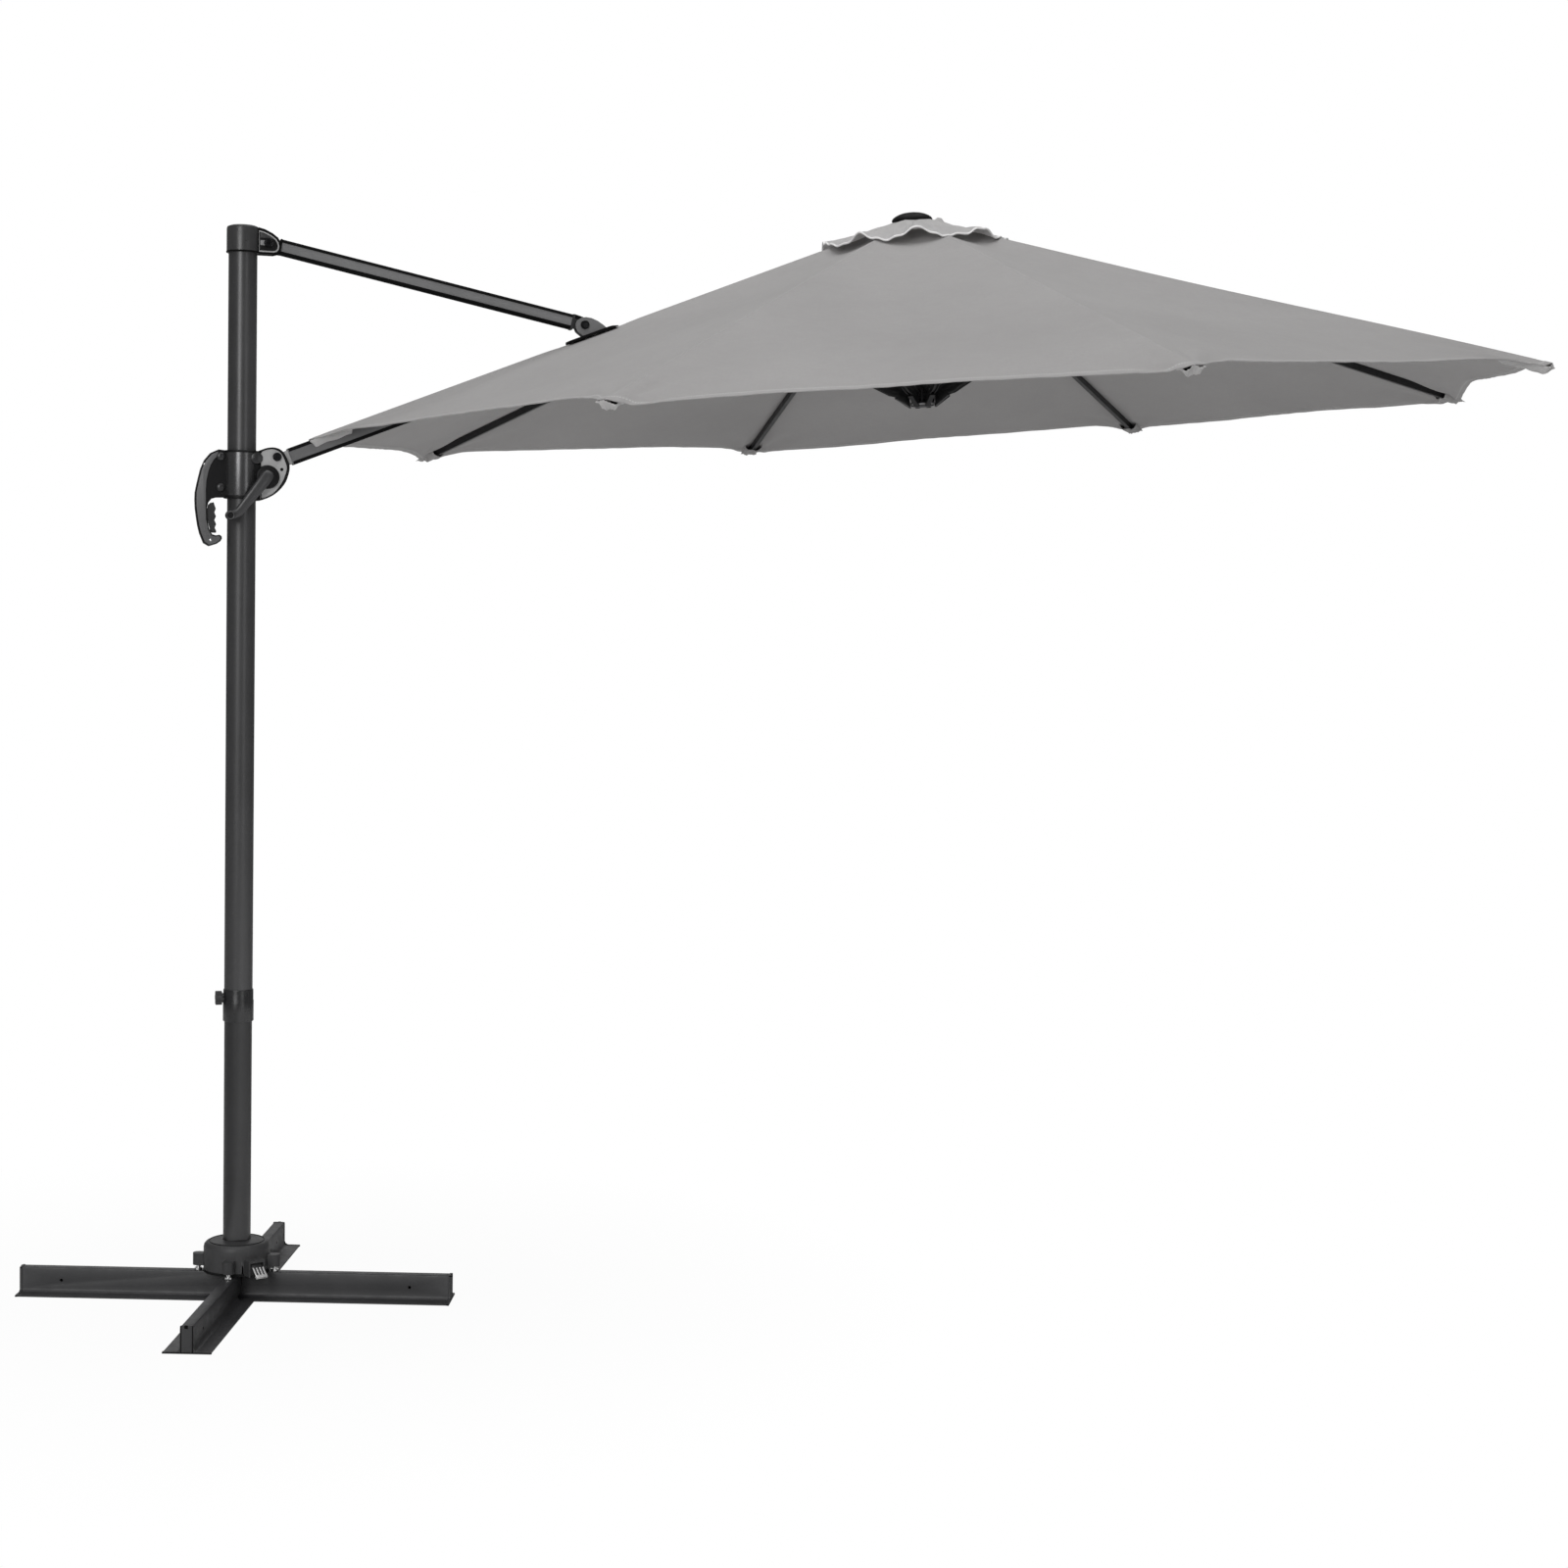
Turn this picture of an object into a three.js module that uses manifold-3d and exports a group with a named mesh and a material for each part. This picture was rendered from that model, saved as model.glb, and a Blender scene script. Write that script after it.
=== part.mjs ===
// Cantilever parasol: cross base, swivelling mast, sliding crank housing, tilting arm with a
// support strut, and an eight-rib octagonal canopy that folds on a hinged hub.
// Millimetres, +Z up. Origin on the mast axis at ground level; the arm points along +X.
import * as THREE from 'three';
import { mergeVertices } from 'three/addons/utils/BufferGeometryUtils.js';
import Module from 'manifold-3d';

const wasm = await Module();
wasm.setup();

// ---------------------------------------------------------------- driving dimensions
const GAP = 0.3;                    // clearance between touching pieces
const D2R = Math.PI / 180;
// base
const BASE_TURN = -18;              // cross base turned about the mast axis, degrees
const BEAM_HALF = 492;              // half length of each beam, without its end cap
const CAP_T = 5.5;                  // beam end cap thickness
const BEAM_H = 60;                  // beam height
const FLANGE_HALF = 51.5;           // half width across the flanges
const WEB_HALF = 13.5;              // half width of the raised web
const SHEET_T = 3.4;                // beam sheet thickness
const HOUSING_R = 75;
const HOUSING_TOP = 131;
const LUG_R = 88;                   // bolt circle radius of the housing lugs
const HOLE_X = 402;                 // holes through the beam webs
const PEDAL_AZ = -50;               // pedal direction in the base frame, degrees
// mast
const LOWER_R = 31.25;
const UPPER_R = 32;
const WALL = 2.4;
const JOINT_Z = 676;                // where the lower and upper tubes meet
const MAST_TOP = 2429.5;
const CAP_TOP = 2448;
const CAP_R = 36.5;
const KNOB_Z = 694;
// tilt linkage pivots, in the XZ plane of the arm
const A = [54, 2409];               // strut to mast top
const B = [789.5, 2263.5];          // strut to arm bracket
const C = [75.5, 1929];             // arm to slider
const STRUT_H = 33, STRUT_W = 24;
const ARM_H = 38, ARM_W = 28;
// slider and crank housing
const SLIDER_LO = 1835, SLIDER_HI = 1940, SLIDER_BORE = 33, SLIDER_R = 38;
const CRANK = [54.6, 1883];         // crank axle in XZ
const GRIP = [-32, 1793];           // crank grip axis in XZ
// canopy
const APEX = [1607.6, 2563.7];      // where the ridge lines meet, in XZ
const CANOPY_TILT = 4.28;           // outer edge raised, degrees
const R_RIM = 1500;                 // centre to rib tip, measured level
const RISE = 482;                   // rim plane to apex
const R_VENT = 85;                  // inner edge of the main cloth
const R_FLAP = 232;                 // outer edge of the vent flap
const CLOTH = 1.0;                  // thickness of the plain cloth solids
const HINGE = [40, -23.4];          // rib hinge: radius and height below the apex
const RIB_OFF = 10;                 // rib centre line below the ridge line
const RIB_H = 16, RIB_W = 12, RIB_WALL = 1.3;
const RIB_END = 1470;
const J_A = 452.7, J_B = 14;        // stretcher joint along the rib and below its centre line
const J1_A = 458.954, J1_B = 42;    // the same on the arm
const RUNNER = [32, -425];          // stretcher joint on the runner
const STR_H = 11, STR_W = 8;

const slope = Math.atan(RISE / R_RIM);
const armAngle = slope + CANOPY_TILT * D2R;

// ---------------------------------------------------------------- colours
const mat = (color, roughness, metalness) => new THREE.MeshStandardMaterial({ color, roughness, metalness });
const paint = () => mat(0x3b3b3d, 0.5, 0.5);
const darkPlastic = () => mat(0x262627, 0.6, 0.0);
const greyPlate = () => mat(0xa3a3a3, 0.4, 0.6);
const steel = () => mat(0xc4c4c4, 0.25, 1.0);
const black = () => mat(0x1b1b1c, 0.5, 0.3);
const cloth = () => mat(0x9d9a9a, 0.9, 0.0);

// ---------------------------------------------------------------- helpers
function solidOf(geometry) {
  let g = geometry.clone();
  g.deleteAttribute('normal'); g.deleteAttribute('uv');
  g = mergeVertices(g, 1e-4);
  const index = g.index ? g.index.array : Uint32Array.from({ length: g.attributes.position.count }, (_, i) => i);
  const mesh = new wasm.Mesh({ numProp: 3, vertProperties: new Float32Array(g.attributes.position.array), triVerts: new Uint32Array(index) });
  return new wasm.Manifold(mesh);
}
function geometryOf(solid) {
  const m = solid.getMesh();
  const g = new THREE.BufferGeometry();
  g.setAttribute('position', new THREE.BufferAttribute(new Float32Array(m.vertProperties), 3));
  g.setIndex(new THREE.BufferAttribute(new Uint32Array(m.triVerts), 1));
  g.computeVertexNormals();
  return g;
}
const union = (...gs) => geometryOf(gs.map(solidOf).reduce((a, b) => a.add(b)));
const cut = (g, ...tools) => geometryOf(tools.map(solidOf).reduce((a, b) => a.subtract(b), solidOf(g)));
const cutUnion = (parts, tools) => geometryOf(tools.map(solidOf).reduce((a, b) => a.subtract(b), parts.map(solidOf).reduce((a, b) => a.add(b))));
const box = (x0, x1, y0, y1, z0, z1) => new THREE.BoxGeometry(x1 - x0, y1 - y0, z1 - z0).translate((x0 + x1) / 2, (y0 + y1) / 2, (z0 + z1) / 2);
const cylZ = (r, z0, z1, x = 0, y = 0, n = 24) => new THREE.CylinderGeometry(r, r, z1 - z0, n).rotateX(Math.PI / 2).translate(x, y, (z0 + z1) / 2);
const cylY = (r, y0, y1, x, z, n = 20) => new THREE.CylinderGeometry(r, r, y1 - y0, n).translate(x, (y0 + y1) / 2, z);
const cylX = (r, x0, x1, y, z, n = 20) => new THREE.CylinderGeometry(r, r, x1 - x0, n).rotateZ(Math.PI / 2).translate((x0 + x1) / 2, y, z);
const lathe = (profile, n = 32) => new THREE.LatheGeometry(profile.map(([r, z]) => new THREE.Vector2(r, z)), n).rotateX(Math.PI / 2);
const ring = (rIn, rOut, z0, z1, n = 32) => lathe([[rIn, z0], [rOut, z0], [rOut, z1], [rIn, z1], [rIn, z0]], n);
// a polygon in XZ, thick from y0 to y1
function plateXZ(points, y0, y1) {
  const s = new THREE.Shape(points.map(([x, z]) => new THREE.Vector2(x, z)));
  const g = new THREE.ExtrudeGeometry(s, { depth: y1 - y0, bevelEnabled: false });
  g.applyMatrix4(new THREE.Matrix4().makeBasis(new THREE.Vector3(1, 0, 0), new THREE.Vector3(0, 0, 1), new THREE.Vector3(0, -1, 0)));
  return g.translate(0, y1, 0);
}
// a polygon in YZ, long from x0 to x1
function barX(points, x0, x1, hole) {
  const s = new THREE.Shape(points.map(([y, z]) => new THREE.Vector2(y, z)));
  if (hole) s.holes.push(new THREE.Path(hole.map(([y, z]) => new THREE.Vector2(y, z))));
  const g = new THREE.ExtrudeGeometry(s, { depth: x1 - x0, bevelEnabled: false });
  g.applyMatrix4(new THREE.Matrix4().makeBasis(new THREE.Vector3(0, 1, 0), new THREE.Vector3(0, 0, 1), new THREE.Vector3(1, 0, 0)));
  return g.translate(x0, 0, 0);
}
// rounded rectangle in YZ, centred on (0, zc)
function roundRect(w, h, r, zc = 0) {
  const p = [];
  for (const [sx, sz, a0] of [[1, -1, -90], [1, 1, 0], [-1, 1, 90], [-1, -1, 180]])
    for (const a of [0, 45, 90])
      p.push([sx * (w / 2 - r) + r * Math.cos((a0 + a) * D2R), zc + sz * (h / 2 - r) + r * Math.sin((a0 + a) * D2R)]);
  return p;
}
const parasol = new THREE.Group();
function piece(parent, name, geometry, material) {
  const m = new THREE.Mesh(geometry, material);
  m.name = name;
  parent.add(m);
  return m;
}

// ---------------------------------------------------------------- cross base
const base = new THREE.Group();
base.rotation.z = BASE_TURN * D2R;
parasol.add(base);

const hat = [
  [-FLANGE_HALF, 0], [-(WEB_HALF - SHEET_T), 0], [-(WEB_HALF - SHEET_T), BEAM_H - SHEET_T], [WEB_HALF - SHEET_T, BEAM_H - SHEET_T], [WEB_HALF - SHEET_T, 0],
  [FLANGE_HALF, 0], [FLANGE_HALF, SHEET_T], [WEB_HALF + 9, SHEET_T], [WEB_HALF + 5, SHEET_T + 1.3], [WEB_HALF + 2, SHEET_T + 4.2], [WEB_HALF + 0.5, SHEET_T + 8], [WEB_HALF, BEAM_H - 3], [WEB_HALF - 0.9, BEAM_H - 0.9], [WEB_HALF - 3, BEAM_H],
  [-(WEB_HALF - 3), BEAM_H], [-(WEB_HALF - 0.9), BEAM_H - 0.9], [-WEB_HALF, BEAM_H - 3], [-(WEB_HALF + 0.5), SHEET_T + 8], [-(WEB_HALF + 2), SHEET_T + 4.2], [-(WEB_HALF + 5), SHEET_T + 1.3], [-(WEB_HALF + 9), SHEET_T], [-FLANGE_HALF, SHEET_T],
];
// a small hole through both walls of the web near each end
const beam = () => cut(barX(hat, -BEAM_HALF, BEAM_HALF), ...[-HOLE_X, HOLE_X].map((x) => cylY(3.6, -20, 20, x, 31, 14)));
const lapMid = BEAM_H / 2;
// the long beam keeps its foot at the crossing and gives up the top half of its web
piece(base, 'beam_long', cut(beam(), box(-WEB_HALF - 1.3, WEB_HALF + 1.3, -30, 30, lapMid - GAP, 70)), paint());
// the cross beam bridges it and gives up the lower half, and its flanges where the other beam's flanges lie
piece(base, 'beam_cross',
  cut(beam().rotateZ(Math.PI / 2),
    box(-60, 60, -FLANGE_HALF - 1, FLANGE_HALF + 1, -5, SHEET_T + 8.6),
    box(-30, 30, -WEB_HALF - 1.3, WEB_HALF + 1.3, -5, lapMid + GAP)), paint());
const capOutline = [
  [-FLANGE_HALF - 1, 0], [FLANGE_HALF + 1, 0], [FLANGE_HALF + 1, SHEET_T + 1], [WEB_HALF + 9, SHEET_T + 1.3], [WEB_HALF + 3, SHEET_T + 5], [WEB_HALF + 1.2, SHEET_T + 10],
  [WEB_HALF + 1, BEAM_H - 3], [WEB_HALF - 2, BEAM_H + 1], [-(WEB_HALF - 2), BEAM_H + 1], [-(WEB_HALF + 1), BEAM_H - 3], [-(WEB_HALF + 1.2), SHEET_T + 10], [-(WEB_HALF + 3), SHEET_T + 5], [-(WEB_HALF + 9), SHEET_T + 1.3], [-FLANGE_HALF - 1, SHEET_T + 1],
];
for (let i = 0; i < 4; i++)
  piece(base, `beam_cap_${i + 1}`, barX(capOutline, BEAM_HALF + GAP, BEAM_HALF + CAP_T).rotateZ(i * Math.PI / 2), darkPlastic());
piece(base, 'centre_plate', box(-60, 60, -(WEB_HALF - SHEET_T - 0.4), WEB_HALF - SHEET_T - 0.4, 0, 5), paint());

// turning bearing housing with four bolt lugs and the pedal hood
const housingBody = lathe([[0, 60.4], [72, 60.4], [HOUSING_R, 63], [HOUSING_R, 117], [73.5, 124], [69, 129], [62, HOUSING_TOP], [38, HOUSING_TOP], [34.4, 129.4], [33, 127], [33, 66.4], [0, 66.4]], 40);
const lug = (az) => [box(58, LUG_R, -13, 13, 72, 100).rotateZ(az), cylZ(13, 72, 100, LUG_R, 0, 16).rotateZ(az)];
const hoodAz = PEDAL_AZ * D2R;
piece(base, 'base_housing', cutUnion(
  [housingBody, ...[0, 1, 2, 3].flatMap((i) => lug(i * Math.PI / 2)), box(62, 97, -20, 20, 64, 101).rotateZ(hoodAz)],
  [box(78, 99, -16, 16, 55, 95).rotateZ(hoodAz)]), darkPlastic());
for (let i = 0; i < 4; i++)
  piece(base, `base_bolt_${i + 1}`, lathe([[0, 60.4], [9, 60.4], [9, 65.5], [5, 66], [5, 71.7], [0, 71.7]], 12).translate(LUG_R, 0, 0).rotateZ(i * Math.PI / 2), steel());
// lock pedal: hinge barrel inside the hood, lever and ribbed tread outside
const tread = [0, 1, 2, 3].map((i) => box(101 + i * 5, 103.4 + i * 5, -13, 13, 68, 73.5));
piece(base, 'lock_pedal', union(cylY(5, -15.2, 15.2, 86, 87, 14), plateXZ([[82, 84], [89, 90], [101, 72.5], [96, 68.5]], -6, 6), box(96, 121, -13, 13, 67, 71), ...tread).rotateZ(hoodAz), steel());

// ---------------------------------------------------------------- mast
piece(parasol, 'lower_mast_tube', ring(LOWER_R - WALL, LOWER_R, 67, JOINT_Z, 40), paint());
piece(parasol, 'upper_mast_tube', ring(UPPER_R - WALL, UPPER_R, JOINT_Z + GAP, MAST_TOP, 40), paint());
piece(parasol, 'joint_collar', union(lathe([[32.4, 641], [34.2, 641], [34.7, 642], [34.7, 688], [33.9, 690], [33.9, 712], [33.4, 714], [32.4, 714], [32.4, 641]], 40), cylX(11, -37, -33.2, 0, KNOB_Z, 16)), darkPlastic());
const lobes = [];
for (let i = 0; i < 48; i++) { const a = i * 7.5 * D2R; const r = 15.4 + 1.7 * Math.cos(6 * a); lobes.push([r * Math.cos(a), KNOB_Z + r * Math.sin(a)]); }
piece(parasol, 'clamp_knob', barX(lobes, -51.5, -37.4), darkPlastic());

// top cap with its fork nose
piece(parasol, 'mast_top_cap', cutUnion(
  [lathe([[0, MAST_TOP + 0.5], [UPPER_R + 0.3, MAST_TOP + 0.5], [UPPER_R + 0.3, 2386], [CAP_R, 2386], [CAP_R, 2439], [35, 2443.5], [28, 2446.5], [12, CAP_TOP], [0, CAP_TOP]], 40),
    plateXZ([[34, 2386], [34, 2443], [43, 2440.5], [55, 2435], [67, 2428], [75, 2419], [79, 2409], [77, 2397], [70, 2388.5], [58, 2386]], -17.5, 17.5)],
  [box(37.2, 90, -11.4, 11.4, 2370, 2427), cylY(6.3, -20, 20, A[0], A[1], 16)]), darkPlastic());
piece(parasol, 'strut_top_bolt', union(cylY(6, -20, 20, A[0], A[1], 16), cylY(9, -22.5, -17.9, A[0], A[1], 12), cylY(9, 17.9, 22.5, A[0], A[1], 12)), black());

// ---------------------------------------------------------------- slider with handle, crank and release lever
const handle = [
  [-30, 1940], [-35.6, 1940.8], [-53, 1942.4], [-70.3, 1934.1], [-83.3, 1918.2], [-91.8, 1898.1], [-99.2, 1867.1], [-103.6, 1845], [-104, 1827.4], [-103.2, 1810], [-101, 1792.3], [-97.5, 1770], [-93.2, 1752.8], [-84.4, 1731],
  [-72.4, 1724.3], [-56.1, 1729.6], [-47.5, 1736], [-44.2, 1742], [-45, 1747.5], [-50, 1750.6], [-58, 1749], [-66, 1751], [-72.5, 1763], [-77.1, 1784.2], [-77.9, 1810.6], [-75, 1822], [-68, 1831], [-56.7, 1834.5], [-33.8, 1835.3], [-30, 1835.3],
];
const housingD = [
  [26, 1834], [26, 1938], [43.3, 1945], [56, 1949], [70, 1950], [82.8, 1946], [91, 1938.5], [98, 1926], [103.5, 1912], [103.8, 1900], [101, 1888], [96, 1874], [86, 1859], [72, 1845.5], [58, 1837], [45, 1831.5], [33, 1829.8], [28, 1830.5],
];
piece(parasol, 'slider_housing', cutUnion(
  [ring(SLIDER_BORE, SLIDER_R, SLIDER_LO, SLIDER_HI, 40), plateXZ(handle, -12, 12), plateXZ(housingD, -28, 28)],
  [cylZ(SLIDER_BORE, SLIDER_LO - 20, SLIDER_HI + 20, 0, 0, 40),
    box(39, 130, -13, 13, 1852, 1975),
    box(-87, -40, -8.2, 8.2, 1753.5, 1836),
    cylY(6.5, -40, 5, CRANK[0], CRANK[1], 16), cylY(6.3, -40, 40, C[0], C[1], 16)]), darkPlastic());
const inset = housingD.map(([x, z]) => { const cx = 64, cz = 1890; const k = 0.945; return [Math.max(cx + (x - cx) * k, 38.6), cz + (z - cz) * k]; });
piece(parasol, 'crank_cover_plate', cut(plateXZ(inset, -31.3, -28.3), cylY(26.5, -40, -20, CRANK[0], CRANK[1], 28), cylY(6.3, -40, -20, C[0], C[1], 16)), greyPlate());
piece(parasol, 'arm_pivot_bolt', union(cylY(6, -33, 31, C[0], C[1], 16), cylY(9.5, -36.5, -31.6, C[0], C[1], 12), cylY(9.5, 28.3, 33, C[0], C[1], 12)), black());
piece(parasol, 'release_lever', plateXZ([
  [-70, 1822], [-74.6, 1817], [-76.2, 1808], [-75.6, 1785], [-69, 1760], [-65.5, 1755], [-57, 1755], [-56.6, 1759], [-60, 1766], [-56.8, 1774], [-60.8, 1783.5], [-57.3, 1792], [-60.8, 1800.5], [-57.8, 1809], [-61, 1818], [-62.5, 1823.5]], -7.6, 7.6), darkPlastic());
// crank: axle through the near wall, boss, tapered arm with a short dog-leg to the grip
piece(parasol, 'crank_handle', union(
  cylY(6, -45, 12, CRANK[0], CRANK[1], 16), cylY(25.5, -44, -28.6, CRANK[0], CRANK[1], 28),
  plateXZ([[68, 1897], [54, 1903], [37, 1898], [-14, 1813], [-30, 1803], [-41, 1797], [-42.5, 1790], [-38, 1784], [-29, 1782.5], [-10, 1787], [2, 1796], [58, 1858], [71, 1868], [76, 1884]], -55, -43)), paint());
piece(parasol, 'crank_grip', cylY(10.5, -76, -55.3, GRIP[0], GRIP[1], 20), darkPlastic());
piece(parasol, 'cord_spool', lathe([[6.3, -11], [14.5, -11], [14.5, -8.5], [11, -7.5], [11, 7.5], [14.5, 8.5], [14.5, 11], [6.3, 11], [6.3, -11]], 20).rotateX(-Math.PI / 2).translate(CRANK[0], 0, CRANK[1]), darkPlastic());

// ---------------------------------------------------------------- support strut, in a frame along A to B
const strutLength = Math.hypot(B[0] - A[0], B[1] - A[1]);
const strut = new THREE.Group();
strut.position.set(A[0], 0, A[1]);
strut.rotation.y = Math.atan2(A[1] - B[1], B[0] - A[0]);
parasol.add(strut);
piece(strut, 'strut_tube', cutUnion([barX(roundRect(STRUT_W, STRUT_H, 5), 27, strutLength - 32.3), cylY(12.5, -10.6, 10.6, 0, 0, 20), box(0, 28, -10.6, 10.6, -12.5, 12.5)], [barX(roundRect(STRUT_W - 4, STRUT_H - 4, 3), 34, strutLength), cylY(6.3, -20, 20, 0, 0, 16)]), paint());
piece(strut, 'strut_lower_end', cutUnion([cylY(14, -9, 9, strutLength, 0, 20), box(strutLength - 30, strutLength, -9, 9, -13, 13), box(strutLength - 32, strutLength - 26.5, -12.6, 12.6, -18, 18), barX(roundRect(STRUT_W - 5, STRUT_H - 5, 3.2), strutLength - 66, strutLength - 29)], [cylY(7.8, -20, 20, strutLength, 0, 16)]), darkPlastic());

// ---------------------------------------------------------------- arm, in a frame that runs down the ridge line over it
const armFrame = new THREE.Group();
armFrame.applyMatrix4(new THREE.Matrix4().makeBasis(
  new THREE.Vector3(-Math.cos(armAngle), 0, -Math.sin(armAngle)), new THREE.Vector3(0, -1, 0), new THREE.Vector3(-Math.sin(armAngle), 0, Math.cos(armAngle)))
  .setPosition(APEX[0], 0, APEX[1]));
parasol.add(armFrame);
const inArm = ([x, z]) => { const dx = APEX[0] - x, dz = APEX[1] - z; return [dx * Math.cos(armAngle) + dz * Math.sin(armAngle), dx * Math.sin(armAngle) - dz * Math.cos(armAngle)]; };
const [cX, cZ] = inArm(C);
const [bX, bZ] = inArm(B);
const hX = HINGE[0] * Math.cos(slope) - HINGE[1] * Math.sin(slope);
const hZ = HINGE[0] * Math.sin(slope) + HINGE[1] * Math.cos(slope);
const armZ = -22;                   // arm centre line below the ridge line
// the tube carries two welded ears below it for the canopy stretcher on its side
const cx1 = hX + J1_A, cz1 = hZ - J1_B;
const clevisEar = [[cx1 - 13, armZ - 17.5], [cx1 + 13, armZ - 17.5], [cx1 + 7, cz1 - 3], [cx1 + 3, cz1 - 6.5], [cx1 - 3, cz1 - 6.5], [cx1 - 7, cz1 - 3]];
piece(armFrame, 'arm_tube', cutUnion([barX(roundRect(ARM_W, ARM_H, 5, armZ), 74.3, 1628), plateXZ(clevisEar, -7.2, -4.4), plateXZ(clevisEar, 4.4, 7.2)], [barX(roundRect(ARM_W - 4, ARM_H - 4, 3, armZ), 70, 1632)]), paint());
piece(armFrame, 'arm_hub_fitting', cutUnion([cylY(8, -6, 6, hX, hZ, 16), box(hX, 72, -6, 6, hZ - 8, hZ + 8), box(69, 74, -14, 14, armZ - 19, armZ + 19), barX(roundRect(ARM_W - 5, ARM_H - 5, 3.2, armZ), 70, 112)], [cylY(3.2, -20, 20, hX, hZ, 12)]), darkPlastic());
piece(armFrame, 'arm_root_fitting', cutUnion([cylY(14, -11, 11, cX, cZ, 20), plateXZ([[1640, cZ - 21], [1640, cZ + 7], [cX + 2, cZ + 14], [cX + 6, cZ - 12.6]], -11, 11), box(1628.3, 1641, -12, 12, armZ - 16, armZ + 16), barX(roundRect(ARM_W - 5, ARM_H - 5, 3.2, armZ), 1588, 1636)], [cylY(6.3, -20, 20, cX, cZ, 16)]), greyPlate());
// bracket on top of the arm: two ears and a foot that lies on the cloth over the arm
const ears = [[bX + 13, 6], [bX + 18, 14], [bX + 22.3, bZ - 8], [bX + 22.5, bZ + 2], [bX + 19, bZ + 11], [bX + 11.5, bZ + 16.5], [bX + 1, bZ + 18], [bX - 9, bZ + 16], [bX - 21, bZ + 9.5], [bX - 33, bZ - 2], [bX - 43, bZ - 16], [bX - 47, 6]];
const foot = [[bX - 72, 0.6], [bX + 50, 0.6], [bX + 49.5, 2.2], [bX + 36, 6.4], [bX - 54, 6.4], [bX - 71, 2.4]];
piece(armFrame, 'strut_bracket', cutUnion([plateXZ(foot, -24, 24), plateXZ(ears, -13, -9.8), plateXZ(ears, 9.8, 13)], [cylY(5.2, -20, 20, bX, bZ, 16)]), mat(0x6b6b6c, 0.4, 0.7));
piece(armFrame, 'strut_lower_bolt', union(cylY(5, -15, 15, bX, bZ, 16), cylY(9.5, -18, -13.3, bX, bZ, 12), cylY(9.5, 13.3, 18, bX, bZ, 12)), black());

// ---------------------------------------------------------------- canopy, in a frame at the apex tilted with it
const canopy = new THREE.Group();
canopy.position.set(APEX[0], 0, APEX[1]);
canopy.rotation.y = -CANOPY_TILT * D2R;
parasol.add(canopy);

const slots = [];
for (let k = 0; k < 8; k++) slots.push(box(31, 60, -6.6, 6.6, -60, 0).rotateZ(k * Math.PI / 4));
piece(canopy, 'hub', cutUnion([cylZ(52, -36, -12, 0, 0, 40), cylZ(17, -46, -4.5, 0, 0, 20)], slots), darkPlastic());
piece(canopy, 'finial', lathe([[0, -4.2], [50, -4.2], [52.5, -1], [52, 2], [47, 7], [36, 11.5], [20, 14.8], [0, 16]], 32), black());

// thin cloth sector between radii r0 and r1, half a gore each side of its rib, with its top face lifted by up
function sector(r0, r1, up, t) {
  const k = Math.PI / 8, g = 0.2, tan = RISE / R_RIM;
  const ringAt = (r, dz) => [[r * Math.cos(k) , -(r * Math.sin(k) - g), -tan * r + up + dz], [r, 0, -tan * r + up + dz], [r * Math.cos(k), r * Math.sin(k) - g, -tan * r + up + dz]];
  const v = [...ringAt(r0, 0), ...ringAt(r1, 0), ...ringAt(r0, -t), ...ringAt(r1, -t)];
  const q = [[0, 3, 4, 1], [1, 4, 5, 2], [6, 7, 10, 9], [7, 8, 11, 10], [0, 1, 7, 6], [1, 2, 8, 7], [3, 9, 10, 4], [4, 10, 11, 5], [0, 6, 9, 3], [2, 5, 11, 8]];
  const g3 = new THREE.BufferGeometry();
  g3.setAttribute('position', new THREE.Float32BufferAttribute(v.flat(), 3));
  g3.setIndex(q.flatMap(([a, b, c, d]) => [a, b, c, a, c, d]));
  g3.computeVertexNormals();
  return g3;
}
// vent flap: one octagonal skirt round the hub, over the top edge of the main cloth
{
  const tan = RISE / R_RIM, v = [], idx = [], up = 10;
  for (let i = 0; i < 8; i++) { const a = i * Math.PI / 4; for (const [r, dz] of [[22, 0], [R_FLAP, 0], [R_FLAP, -1], [22, -1]]) v.push(r * Math.cos(a), r * Math.sin(a), -tan * r + up + dz); }
  for (let i = 0; i < 8; i++) { const p = i * 4, n = ((i + 1) % 8) * 4; for (let j = 0; j < 4; j++) { const j2 = (j + 1) % 4; idx.push(p + j, p + j2, n + j2, p + j, n + j2, n + j); } }
  const g = new THREE.BufferGeometry();
  g.setAttribute('position', new THREE.Float32BufferAttribute(v, 3));
  g.setIndex(idx);
  g.computeVertexNormals();
  // the inner edge starts under the finial
  piece(canopy, 'vent_flap', cut(g, cylZ(60, -4.9, 30, 0, 0, 32)), cloth());
}

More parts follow.
